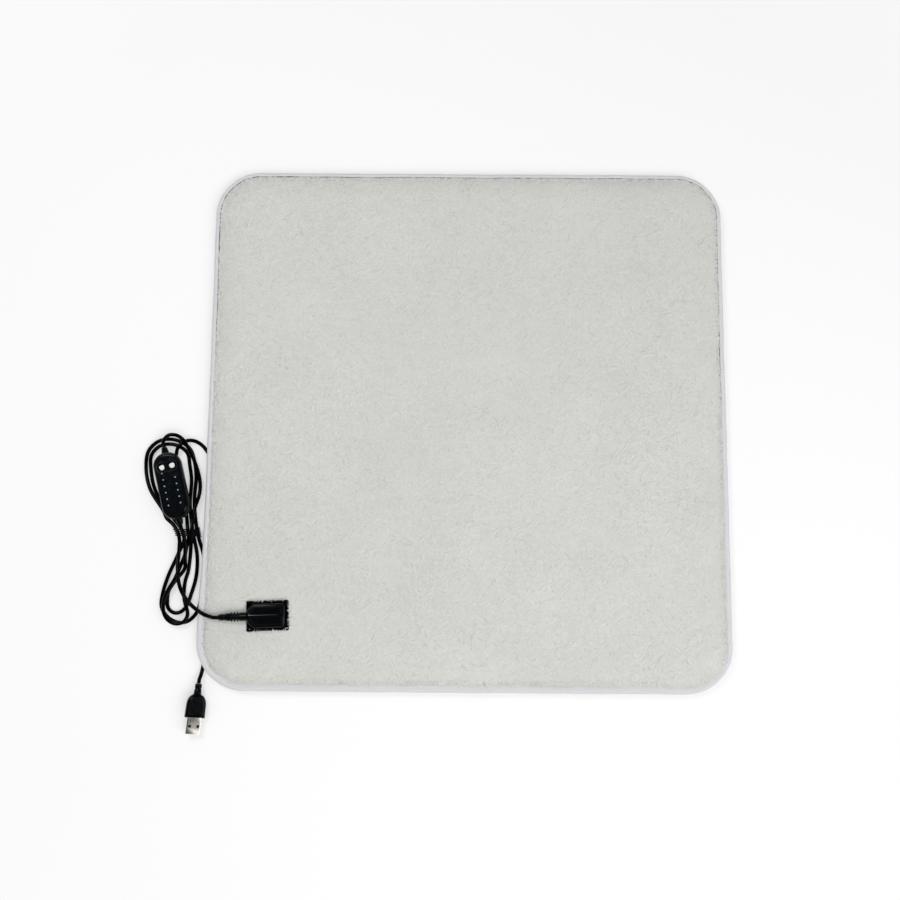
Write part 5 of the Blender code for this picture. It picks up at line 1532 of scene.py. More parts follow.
@dataclass(frozen=True)
class Lock:
    """One lock of pile, a slim spindle that rises from its root, and how its copies are laid."""

    name: str
    length: float
    width: float
    height: float
    turn: float
    lean: float
    lean_spread: float
    size_spread: float

    def shape(self) -> Object:
        """Make the lock's object."""
        long, wide, high = self.length, self.width, self.height
        points = [
            (-0.5 * long, 0.0, -0.6 * high), (0.0, 0.5 * wide, -0.25 * high), (0.05 * long, 0.0, high),
            (0.0, -0.5 * wide, -0.25 * high), (0.5 * long, 0.0, -0.15 * high),
        ]
        faces = [(0, 2, 1), (0, 3, 2), (0, 1, 3), (4, 1, 2), (4, 2, 3), (4, 3, 1)]
        return Shape(points, faces).piece(self.name, FLEECE, smooth=60.0)

    def spread(self, name: str, repeat: Repeat, base: Object, spacing: float, heading: float, seed: int) -> None:
        """Set copies of the lock on a base and place them on the pad.

        Args:
            name: The new piece's name.
            repeat: Tree that sets the copies.
            base: Line or surface that carries them.
            spacing: Distance between them.
            heading: Turn of each, before its own spread.
            seed: Seed of their random numbers.
        """
        lock = self.shape()
        sizes = {
            "Spacing": spacing, "Heading": heading, "Heading Spread": self.turn, "Lean": self.lean,
            "Lean Spread": self.lean_spread, "Size Spread": self.size_spread, "Seed": seed,
        }
        place(repeat.run(name, base, lock, FLEECE, sizes), Body.PAD, Slot.PLUSH)
        bpy.data.objects.remove(lock, do_unlink=True)


@dataclass
class Plush:
    """The fleece top: a crowned, closed pile with a window for the tray, and tufts over all of it."""

    form: PadForm
    columns: int = 262
    rows: int = 266
    grading: float = 0.42
    touch: float = 0.00002
    probe: float = 0.00005
    edge_power: float = 2.2
    crown_start: float = 0.085
    crown_run: float = 0.105
    calm_edge: float = 0.002
    waves: tuple[tuple[float, float], ...] = ((0.00035, 24.0), (0.00018, 95.0))
    brushed: float = 0.00016
    brushed_scales: tuple[float, float] = (130.0, 380.0)
    slot_rise: float = 0.0014
    hem_share: float = 0.22
    window: Point = (0.0364, 0.0259, 0.0018)
    window_play: float = 0.0002
    boot_radius: float = 0.0046
    boot_level: float = 0.0174
    boot_start: float = -0.0160
    sweep_half: float = 0.0112
    sweep: tuple[float, float] = (-0.0335, -0.0150)
    sweep_level: float = 0.0131
    sweep_fade: float = 0.003
    bare_ahead: float = 0.004
    bare_beside: float = 0.002
    rim_out: float = 0.0022
    rim_corner: float = 0.0062
    rim_start: float = 0.003
    tuft_spacing: float = 0.00190
    lock: Lock = Lock("lock", 0.0058, 0.0021, 0.00045, 0.45, 0.02, 0.04, 0.35)
    fringe: Lock = Lock("fringe", 0.0058, 0.0022, 0.0006, 0.7, -0.36, 0.12, 0.5)
    fringe_inset: float = 0.0016
    fringe_rows: tuple[Point, ...] = ((0.0001, -1.57, 0.0012), (0.0003, -1.1, 0.0015))
    fine: Lock = Lock("fine", 0.0056, 0.0016, 0.0005, 0.9, 0.58, 0.18, 0.5)
    fine_lift: float = 0.0005
    fine_spacing: float = 0.0006

    def grid(self) -> np.ndarray:
        """Points of the top, evenly laid between the four sides and closer together near them.

        Returns:
            An array of rows, columns and two coordinates.
        """
        form = self.form
        ring = form.pile_edge()
        period = form.corner_points + form.side_points
        middles = [corner * period + form.corner_points // 2 for corner in range(4)]
        sides = []
        for index, start in enumerate(middles):
            stop = middles[(index + 1) % 4]
            part = ring[start:stop + 1] if stop > start else np.vstack([ring[start:], ring[:stop + 1]])
            steps = np.hypot(*np.diff(part, axis=0).T)
            sides.append((part, np.concatenate([[0.0], np.cumsum(steps)]) / steps.sum()))

        def sample(side: int, shares: np.ndarray) -> np.ndarray:
            """Points of one side at shares of its length."""
            part, lengths = sides[side]
            return np.column_stack([np.interp(shares, lengths, part[:, axis]) for axis in range(2)])

        def graded(count: int) -> np.ndarray:
            """Shares from nought to one that lie closer together at both ends."""
            even = np.linspace(0.0, 1.0, count)
            return even - self.grading * np.sin(2 * np.pi * even) / (2 * np.pi)

        u, v = graded(self.columns), graded(self.rows)
        top, left, bottom, right = sample(0, 1 - u), sample(1, 1 - v), sample(2, u), sample(3, v)
        uu, vv = u[None, :, None], v[:, None, None]
        across = (1 - vv) * bottom[None] + vv * top[None]
        along = (1 - uu) * left[:, None] + uu * right[:, None]
        corners = (
            (1 - uu) * (1 - vv) * bottom[0] + uu * (1 - vv) * bottom[-1] + (1 - uu) * vv * top[0] + uu * vv * top[-1]
        )
        return across + along - corners

    def unevenness(self, x: float, y: float) -> float:
        """Rise of the pile at a point: broad waves, and strokes brushed both ways across.

        Args:
            x: Place along X.
            y: Place along Y.

        Returns:
            The rise.
        """
        spot = Vector((x, y, 0.0))
        (broad, broad_scale), (small, small_scale) = self.waves
        long, short = self.brushed_scales
        return (
            broad * noise.noise(spot * broad_scale) + small * noise.noise(spot * small_scale)
            + self.brushed * noise.noise(Vector(((x + y) * long, (x - y) * short, 0.0)))
            + self.brushed * noise.noise(Vector(((x - y) * long, (x + y) * short, 7.0)))
        )

    def height(self, points: np.ndarray) -> np.ndarray:
        """Height of the pile at points: round at its edge, crowned, uneven, pressed down under the plug.

        Args:
            points: Points in rows.

        Returns:
            Their heights.
        """
        form = self.form
        inset = np.maximum(0.0, form.inset_at(*points.T) - (form.least_show + form.most_show) / 2)
        share = np.clip(inset / form.edge_curve, 0.0, 1.0)
        low = form.binding_top + self.touch
        level = low + (form.plush_top - low) * (1 - (1 - share) ** self.edge_power)
        middle = np.clip((inset - self.crown_start) / self.crown_run, 0.0, 1.0)
        level += form.crown * middle**2 * (3 - 2 * middle)
        level += np.array([self.unevenness(*point) for point in points]) * np.clip(inset / self.calm_edge, 0.0, 1.0)
        # The boot's trough and the flat that the plug slides over
        along, beside = self.local(points).T
        trough = self.boot_level - np.sqrt(np.maximum(0.0, self.boot_radius**2 - beside**2))
        under_boot = (np.abs(beside) < self.boot_radius) & (along < self.boot_start)
        level = np.where(under_boot, np.minimum(level, trough), level)
        fade = self.sweep_fade
        swept = (
            np.clip((self.sweep_half + fade - np.abs(beside)) / fade, 0, 1)
            * np.clip((along - self.sweep[0] + fade) / fade, 0, 1) * (along < 0.0)
        )
        return np.where(level > self.sweep_level, level + (self.sweep_level - level) * swept, level)

    def local(self, points: np.ndarray) -> np.ndarray:
        """Points in the tray's frame.

        Args:
            points: Points in rows.

        Returns:
            The same points there.
        """
        x, y = (points - np.array(PLACES.tray_spot)).T
        cosine, sine = math.cos(PLACES.tray_turn), math.sin(PLACES.tray_turn)
        return np.column_stack([x * cosine + y * sine, y * cosine - x * sine])

    def window_distance(self, points: np.ndarray) -> np.ndarray:
        """Distance of points from the window's edge, outwards."""
        return outside(*self.local(points).T, *self.window)

    def top(self) -> Top:
        """Lay the top's net, its first points outside the window drawn to the window's edge.

        Returns:
            The net.
        """
        flat = self.grid()
        index = np.arange(flat.shape[0] * flat.shape[1]).reshape(flat.shape[:2])
        points = flat.reshape(-1, 2)
        distance = self.window_distance(points)
        ahead = [self.window_distance(points + np.array(shift)) for shift in ((self.probe, 0.0), (0.0, self.probe))]
        slope = np.column_stack([(side - distance) / self.probe for side in ahead])
        quads = np.stack([index[:-1, :-1], index[:-1, 1:], index[1:, 1:], index[1:, :-1]], axis=-1).reshape(-1, 4)
        touched = (distance < 0)[quads].any(axis=1)
        near = np.zeros(len(points), dtype=bool)
        near[quads[touched].ravel()] = True
        near &= distance >= 0
        points = np.where(near[:, None], points - slope * distance[:, None], points)
        border = [*index[0, :-1], *index[:-1, -1], *index[-1, :0:-1], *index[:0:-1, 0]]
        return Top(points, self.height(points), quads[~touched], near, border)

    def pile(self, top: Top) -> None:
        """Close the pile below: round its edge, into the binding, across and up the window.

        Args:
            top: The top's net.
        """
        form = self.form
        edge = top.points[top.border]
        way = np.roll(edge, -1, axis=0) - np.roll(edge, 1, axis=0)
        normal = np.column_stack([way[:, 1], -way[:, 0]]) / np.hypot(*way.T)[:, None]
        slot_low, slot_high = form.edge_lift + form.tape + self.slot_rise, form.binding_top - form.tape - GAP
        lip, fold = form.band + GAP, form.tape + GAP
        profile = (
            (lip, form.binding_top + self.touch), (lip, slot_high), (fold, slot_high), (fold, slot_low),
            (lip, slot_low), (lip + form.edge_curve * self.hem_share, form.plush_bottom),
        )
        vertices, faces = top.spots, [tuple(face) for face in top.faces]
        shown = form.inset_at(*edge.T)[:, None]
        last, count = top.border, len(top.border)
        for inset, level in profile:
            here = list(range(len(vertices), len(vertices) + count))
            vertices += [(x, y, level) for x, y in edge + normal * (shown - inset)]
            faces += [(last[i], last[(i + 1) % count], here[(i + 1) % count], here[i]) for i in range(count)]
            last = here
        floor = self.window_walls(top, vertices, faces)
        both = [*last, *floor]
        edges = [(i, (i + 1) % count) for i in range(count)]
        edges += [(count + i, count + (i + 1) % len(floor)) for i in range(len(floor))]
        flat = [Vector(vertices[i][:2]) for i in both]
        _, _, fill, origin, _, _ = geometry.delaunay_2d_cdt(flat, edges, [], 1, 1e-7)
        for face in fill:
            corners = [both[origin[i][0]] for i in face]
            middle = np.mean([vertices[i][:2] for i in corners], axis=0)[None]
            if self.window_distance(middle)[0] > -self.window_play:
                faces.append(tuple(corners))
        pile = place(Shape(vertices, faces).piece("plush_pile", FLEECE, smooth=75.0), Body.PAD, Slot.PLUSH, "plush_top")

    def window_walls(self, top: Top, vertices: list[Point], faces: list[tuple[int, ...]]) -> list[int]:
        """Walls of the window, down from the points on its edge.

        Args:
            top: The top's net.
            vertices: All points so far; the floor's are added.
            faces: All faces so far; the walls' are added.

        Returns:
            The loop of points at their foot.
        """
        sides: dict[tuple[int, int], None] = {}
        for face in top.faces[top.near[top.faces].sum(axis=1) >= 2]:
            for a, b in zip(face, np.roll(face, -1)):
                if top.near[a] and top.near[b]:
                    sides[int(a), int(b)] = None
        links = {b: a for a, b in sides if (b, a) not in sides}
        loop = [next(iter(links))]
        while links[loop[-1]] != loop[0]:
            loop.append(links[loop[-1]])
        count = len(loop)
        floor = list(range(len(vertices), len(vertices) + count))
        vertices += [(*top.points[i], self.form.plush_bottom) for i in loop]
        faces += [(loop[i], loop[(i + 1) % count], floor[(i + 1) % count], floor[i]) for i in range(count)]
        return floor

    def tufts(self, top: Top, scatter: SurfaceRepeat) -> None:
        """Locks of pile over the top, in two halves, but none where the plug slides.

        Args:
            top: The top's net.
            scatter: Tree for the locks.
        """
        along, beside = self.local(top.points).T
        start, end = self.sweep
        swept = (along < end) & (along > start - self.bare_ahead) & (np.abs(beside) < self.sweep_half)
        swept |= (along < 0.0) & (np.abs(beside) < self.boot_radius + self.bare_beside)
        covered = ~swept[top.faces].any(axis=1)
        middle_x = top.points[top.faces].mean(axis=1)[:, 0]
        for seed, (label, chosen) in enumerate((("left", middle_x < 0), ("right", middle_x >= 0)), start=3):
            mesh = meshed("pile_" + label, top.spots, [tuple(face) for face in top.faces[chosen & covered]])
            base = in_scene("pile_" + label, mesh)
            self.lock.spread("plush_tufts_" + label, scatter, base, self.tuft_spacing, -math.pi / 2, seed)

    def fringes(self, row: RowRepeat) -> None:
        """Longer locks over the binding, and finer ones over the tray's rim.

        Args:
            row: Tree for the locks.
        """
        edge = self.form.pile_edge(self.fringe_inset)
        level = self.height(edge)
        for number, (lift, heading, spacing) in enumerate(self.fringe_rows):
            base = line_base("edge", np.column_stack([edge, level + lift]))
            self.fringe.spread(f"plush_fringe_{number + 1}", row, base, spacing, heading, 20 + number)
        length, width, _ = self.window
        outline = rounded_rectangle(length + self.rim_out, width + self.rim_out, self.rim_corner, 8)
        # None where the plug slides out
        back = self.rim_start - length / 2
        first = max(i for i, (x, y) in enumerate(outline) if x < back) + 1
        ring = [spot for spot in outline[first:] + outline[:first] if spot[0] > back]
        spots = np.array([tuple(PLACES.tray @ Vector((x, y, 0)))[:2] for x, y in ring])
        base = line_base("rim", np.column_stack([spots, self.height(spots) + self.fine_lift]), closed=False)
        self.fine.spread("plush_fringe_tray", row, base, self.fine_spacing, math.pi / 2, 31)

    def build(self, scatter: SurfaceRepeat, row: RowRepeat) -> None:
        """Make the pile and its tufts.

        Args:
            scatter: Tree for the tufts over the pile.
            row: Tree for the tufts along its edges.
        """
        top = self.top()
        self.pile(top)
        self.tufts(top, scatter)
        self.fringes(row)


@dataclass
class Binding:
    """The folded tape round the pad's edge, with its two rows of stitches."""

    form: PadForm
    round_steps: int = 10
    pucker: float = 0.00012
    pucker_scale: float = 160.0
    seam_half: float = 0.0008
    seam_depth: float = 0.00035
    seam_lip: float = 0.0001
    stitch_inset: float = 0.0042
    stitch_pitch: float = 0.0030
    stitch_length: float = 0.0022
    stitch_thickness: float = 0.0004
    stitch_tip: float = 0.00008
    stitch_dip: float = 0.0002

    def section(self) -> Outline:
        """The tape's section as pairs of inset and height: outside round from below, then back inside.

        Returns:
            The pairs.
        """
        form = self.form
        low, high, band = form.edge_lift, form.binding_top, form.band
        radius = form.binding_height / 2
        outer = [(band, low), (band * 0.75, low), (band * 0.5, low)]
        for step in range(self.round_steps + 1):
            angle = -math.pi / 2 - math.pi * step / self.round_steps
            outer.append((radius + radius * math.cos(angle), low + radius + radius * math.sin(angle)))
        # The seam draws the tape down
        outer += [
            (self.stitch_inset - self.seam_half, high), (self.stitch_inset, high - self.seam_depth),
            (self.stitch_inset + self.seam_half, high - self.seam_lip), (band * 0.75, high), (band, high),
        ]
        inner_low, inner_high = low + form.tape, high - form.tape
        return outer + [(band, inner_high), (form.tape, inner_high), (form.tape, inner_low), (band, inner_low)]

    def tape(self) -> Object:
        """The tape, puckered between its stitches, with a map along it and round its section.

        Returns:
            The new piece.
        """
        section = self.section()
        rings = [[(x, y, level) for x, y in self.form.ring(inset)] for inset, level in section]
        count, turns = len(rings[0]), len(rings)
        points = np.array(rings).reshape(-1, 3)
        line = points[:count, :2]
        along = np.concatenate([[0.0], np.cumsum(np.hypot(*np.diff(np.vstack([line, line[:1]]), axis=0).T))])
        spans = [0.0]
        for (a, b), (c, d) in zip(section, section[1:] + section[:1]):
            spans.append(spans[-1] + math.hypot(c - a, d - b))
        # Puckers between stitches, strongest on the outer round, and none inside the fold
        for turn, (inset, _) in enumerate(section[:-4]):
            weight = self.pucker * max(0.0, 1 - inset / self.form.band)
            for i in range(count):
                wave = math.sin(2 * math.pi * along[i] / (self.stitch_pitch * 2))
                ripple = noise.noise(Vector((along[i] * self.pucker_scale, turn * 0.12, 0))) + 0.6 * wave
                points[turn * count + i, 2] += weight * ripple
        faces, corners = [], []
        for turn in range(turns):
            low, high = turn * count, (turn + 1) % turns * count
            for i in range(count):
                j = (i + 1) % count
                faces.append((low + i, low + j, high + j, high + i))
                corners += [(along[i], spans[turn]), (along[i + 1], spans[turn]), (along[i + 1], spans[turn + 1]),
                            (along[i], spans[turn + 1])]
        mesh = meshed("edge_binding_tape", points.tolist(), faces)
        mapped(mesh, "tape", corners)
        with opened(mesh) as shape:
            bmesh.ops.recalc_face_normals(shape, faces=shape.faces)
        return linked("edge_binding_tape", mesh, TAPE, 50.0)

    def build(self, row: RowRepeat) -> None:
        """Make the tape and the stitches.

        Args:
            row: Tree for the stitches.
        """
        form = self.form
        place(self.tape(), Body.PAD, Slot.BINDING, "edge_binding")
        thin, thick = self.stitch_tip, self.stitch_thickness / 2
        shares = ((-0.5, thin), (-0.3, thick), (0.3, thick), (0.5, thin))
        stitch = turned([(share * self.stitch_length, radius) for share, radius in shares], 6).piece("stitch", THREAD)
        ring = form.ring(self.stitch_inset)
        sizes = {
            "Spacing": self.stitch_pitch, "Heading": 0.0, "Heading Spread": 0.06, "Lean": 0.0, "Lean Spread": 0.03,
            "Size Spread": 0.08, "Seed": 41,
        }
        for label, level in (("upper", form.binding_top - self.stitch_dip), ("lower", form.edge_lift)):
            base = line_base("seam", np.column_stack([ring, np.full(len(ring), level)]))
            made = row.run("binding_stitches_" + label, base, stitch, THREAD, sizes)
            place(made, Body.PAD, Slot.BINDING)
        bpy.data.objects.remove(stitch, do_unlink=True)


@dataclass(frozen=True)
class Layer:
    """One flat layer within the pad, its share of the edge's curve, its levels and its window's size."""

    name: str
    node: str
    finish: Finish
    slot: Slot
    curve_share: float
    low: float
    high: float
    window: Point | None = None


@dataclass
class PadInside:
    """The base cloth, the wadding and the flat layers over it."""

    form: PadForm
    wadding_top: float = 0.0047
    pocket: Point = (0.0446, 0.0341, 0.0059)
    pocket_floor: float = 0.0018
    hem_fall: tuple[tuple[float, float], ...] = ((0.95, 0.0), (0.72, 0.06), (0.44, 0.28), (0.20, 0.68))
    layers: tuple[Layer, ...] = (
        Layer("heater_carrier_cloth", "heater_carrier", LINING, Slot.CLOTH, 0.25, 0.0050, 0.0055),
        Layer("felt_layer", "upper_felt", WADDING, Slot.WADDING, 0.3, 0.0077, 0.0087, (0.0426, 0.0321, 0.0049)),
    )

    def opening(self, name: str, finish: Finish, size: Point, low: float, high: float) -> Object:
        """A tool that cuts a window round the tray.

        Args:
            name: The tool's name.
            finish: Surface of the cut's walls.
            size: Length, width and corner radius.
            low: Its lower level.
            high: Its upper level.

        Returns:
            The tool.
        """
        rings = level_rings(lambda _: rounded_rectangle(*size), [(0, low), (0, high)])
        return Shape().loft(rings).piece(name, finish, PLACES.tray)

    def cloth(self) -> None:
        """The base cloth: flat below, risen to the pad's edge and tucked into the tape."""
        form = self.form
        lip, fold, curve = form.band + GAP, form.tape + GAP, form.edge_curve
        lift, thick = form.edge_lift, form.base_cloth
        edge_low = lift + form.tape + GAP
        under = [(lip + curve, 0.0), *[(lip + curve * a, lift * b) for a, b in self.hem_fall]]
        over = [(lip + thick + curve * a, lift * b + thick) for a, b in reversed(self.hem_fall)]
        profile = [
            *under, (lip, edge_low - GAP), (lip, edge_low), (fold, edge_low), (fold, edge_low + thick),
            (lip + thick, edge_low + thick), *over, (lip + thick + curve, thick),
        ]
        cloth = place(form.shell("base_cloth_sheet", profile, LINING), Body.PAD, Slot.CLOTH, "base_cloth")

    def wadding(self) -> None:
        """The wadding, thinner towards its edge, with a pocket for the tray's backplate."""
        form = self.form
        edge, curve, lift = form.band + GAP + form.base_cloth, form.edge_curve, form.edge_lift
        low, high = form.base_cloth + GAP, self.wadding_top
        profile = [
            (edge + curve, low), (edge + curve * 0.95, low + GAP), (edge + curve * 0.72, low + lift * 0.14),
            (edge + curve * 0.44, low + lift * 0.38), (edge + curve * 0.26, high - GAP), (edge + curve * 0.30, high),
            (edge + curve, high),
        ]
        wadding = form.shell("wadding_pad", profile, WADDING)
        cut(wadding, [self.opening("pocket", WADDING, self.pocket, self.pocket_floor, high + GAP)])
        place(wadding, Body.PAD, Slot.WADDING, "wadding")

    def layer(self, layer: Layer) -> None:
        """One flat layer, cut out round the tray where it has a window.

        Args:
            layer: Its sizes.
        """
        form, low, high = self.form, layer.low, layer.high
        inset = form.band + GAP + form.edge_curve * layer.curve_share
        sheet = form.shell(
            layer.name, [(inset + 0.001, low), (inset, low), (inset, high), (inset + 0.001, high)], layer.finish
        )
        if layer.window:
            cut(sheet, [self.opening("window", layer.finish, layer.window, low - GAP, high + GAP)])
        place(sheet, Body.PAD, layer.slot, layer.node)

    def build(self) -> None:
        """Make the layers, from below."""
        self.cloth()
        self.wadding()
        for layer in self.layers:
            self.layer(layer)


def dress_nodes() -> None:
    """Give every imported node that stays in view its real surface."""
    nodes = {
        INSULATION: ("heating_wire", "supply_lead", "return_lead_upper", "return_lead_lower"),
        RUBBER: ("thermal_cutout",),
        HOUSING: ("socket_backplate",),
        BRASS: ("contact_pin_1", "contact_pin_2", "plug_contact_1", "plug_contact_2", "usb_contact_1", "usb_contact_2"),
        PBT: ("usb_tongue",),
        BOARD: ("controller_board",),
        ZINC: ("tact_switch_left", "tact_switch_right", "case_screw_1", "case_screw_2",
               *[f"socket_screw_{number}" for number in range(1, 5)]),
    }
    for finish, names in nodes.items():
        for name in names:
            thing = frame["nodes"][name]
            for slot in thing.material_slots:
                slot.material = finish.material()
            if not thing.material_slots:
                thing.data.materials.append(finish.material())


# ---------------------------------------------------------------- plug


@dataclass(frozen=True)
class Boot:
    """A strain relief along X: a plain neck, round ribs between grooves, then a grooved taper."""

    length: float
    base: float
    tip: float
    neck_share: float = 0.1
    groove: float = 0.0007
    rib: float = 0.0
    ribs: int = 0
    rib_width: float = 0.0018
    rib_steps: int = 6
    spacing: float = 0.0026
    ease: float = 0.0002
    taper_share: float = 0.97

    def profile(self) -> Outline:
        """Pairs of place along the boot and radius.

        Returns:
            The pairs, from the neck to the tip.
        """
        width, ease = self.rib_width, self.ease
        along = self.length * self.neck_share
        core = self.base / 2 - self.groove
        pairs = [(0.0, self.base / 2 - ease), (ease, self.base / 2)]
        if self.ribs:
            pairs += [(along - width / 2, self.base / 2), (along - GAP, core)]
        for _ in range(self.ribs):
            for step in range(self.rib_steps + 1):
                angle = math.pi * step / self.rib_steps
                rise = (self.rib / 2 - core) * math.sin(angle) ** 0.5
                pairs.append((along + width * step / self.rib_steps, core + rise))
            along += self.spacing
        taper = self.base * self.taper_share / 2
        rest = self.length - along
        pairs += [(along, taper - ease), (along + ease, taper)]
        slots = int(rest / (2 * self.spacing))
        for slot in range(slots):
            share = (slot + 0.5) / slots
            radius = taper + (self.tip / 2 - taper) * share
            spot, deep = along + rest * share, radius - self.groove / 2
            pairs += [(spot - width / 2, radius), (spot - GAP, deep), (spot + GAP, deep), (spot + width / 2, radius)]
        return pairs + [(self.length - GAP, self.tip / 2), (self.length, self.tip / 2 - GAP)]

    def piece(self, name: str, at: Matrix) -> Object:
        """Make the boot, its neck at a frame's origin."""
        return turned(self.profile()).piece(name, RUBBER, at, 40.0)


@dataclass
class Connector:
    """The tray in the pad, and the plug that clips into it with its ribbed strain relief."""

    boot: Boot = Boot(0.0240, 0.0072, 0.0047, 0.28, 0.0011, 0.0084, 3)
    boot_start: float = -0.0168
    boot_level: float = 0.0174
    tail: float = -0.0165
    nose: float = 0.0151
    width: float = 0.0200
    tail_cut: float = 0.0050
    nose_cut: float = 0.0022
    low: float = 0.0168
    high: float = 0.0204
    rim_inset: float = 0.0016
    rim: float = 0.0013
    recess: float = 0.0006
    ease: float = 0.0003
    slope: float = 0.00012
    shoulder: tuple[tuple[float, float], ...] = ((0.0, -0.0014), (0.0002, -0.0009), (0.0007, -0.0004))
    ridge_width: float = 0.0028
    ridge_length: float = 0.0255
    ridge_start: float = 0.0012
    ridge_root: float = 0.0006
    ridge_rise: float = 0.0002
    pip_spot: tuple[float, float] = (0.0116, 0.0008)
    pip: tuple[tuple[float, float], ...] = ((0.0007, -0.0004), (0.0007, 0.0001), (0.0005, 0.0003), (0.0002, 0.0004))

    def outline(self, inset: float = 0.0) -> Outline:
        """The plug's boat outline: corners cut off widely at the cord and narrowly at the nose.

        Args:
            inset: Distance inwards.

        Returns:
            The outline's points.
        """
        half, end, back = self.width / 2 - inset, self.nose - inset, self.tail + inset
        # A corner cut at 45 degrees shortens as the outline shrinks
        tail, nose = (leg - (2 - math.sqrt(2)) * inset for leg in (self.tail_cut, self.nose_cut))
        ease = nose / 4
        upper = [
            (end, half - nose - ease), (end - ease, half - nose + ease), (end - nose + ease, half - ease),
            (end - nose - ease, half), (back + tail + ease, half), (back + tail - ease, half - ease),
            (back + ease, half - tail + ease), (back, half - tail - ease),
        ]
        return upper + [(x, -y) for x, y in reversed(upper)]

    def ridge(self) -> Object:
        """The ridge over the cable, arched across and round at its far end, as a tool in the plug's frame.

        Returns:
            The tool.
        """
        half, end, deep = self.ridge_width / 2, self.tail + self.ridge_length, self.high - self.recess
        stations = [(self.tail + self.ridge_start, 1.0), (end - half, 1.0), (end, 1.0)]
        stations += [(end + half * math.sin(a), math.cos(a)) for a in np.linspace(0.2, 1.45, 6)]
        root, rise = deep - self.ridge_root, self.high + self.ridge_rise - deep
        rings = []
        for x, share in stations:
            angles = np.linspace(0.0, math.pi, 9)
            arc = [(x, half * share * math.cos(a), deep + rise * share * math.sin(a)) for a in angles]
            rings.append([(x, half * share, root), *arc, (x, -half * share, root)])
        return Shape().loft(rings).piece("ridge", HOUSING, smooth=40.0)

    def cover(self) -> Object:
        """The cover: round shoulders, a raised rim round a shallow recess, a cable ridge and a moulded pip.

        Returns:
            The new piece.
        """
        high, deep, rim, ease = self.high, self.high - self.recess, self.rim_inset, self.ease
        inner = rim + self.rim
        profile = [
            (0.0, self.low), *[(inset, high + fall) for inset, fall in self.shoulder],
            (rim - ease, high - self.slope), (rim, high), (inner - ease, high), (inner, high - ease),
            (inner + ease, deep), (inner + 2 * ease, deep),
        ]
        shell = Shape().loft(level_rings(self.outline, profile)).piece("plug_cover_shell", HOUSING, smooth=40.0)
        x, y = self.pip_spot
        pip = Shape().loft([
            [(x + r * math.cos(a), y + r * math.sin(a), deep + z) for a in np.linspace(0, 2 * math.pi, 12, False)]
            for r, z in self.pip
        ])
        cut(shell, [self.ridge(), pip.piece("pip", HOUSING)], "UNION")
        shell.data.transform(PLACES.tray)
        return shell

    def build(self) -> None:
        """Make tray, plug shells and boot."""
        place(softened("socket_tray", HOUSING, 0.00035), Body.PAD, Slot.HOUSING, "socket_tray")
        place(softened("plug_base", HOUSING, 0.00030), Body.CORD_SET, Slot.HOUSING, "plug_base")
        place(self.cover(), Body.CORD_SET, Slot.HOUSING, "plug_cover")
        neck = Matrix.Translation((self.boot_start, 0, self.boot_level)) @ Matrix.Rotation(math.pi, 4, "Z")
        place(self.boot.piece("plug_boot_ribbed", PLACES.tray @ neck), Body.CORD_SET, Slot.HOUSING, "plug_boot")


# ---------------------------------------------------------------- controller


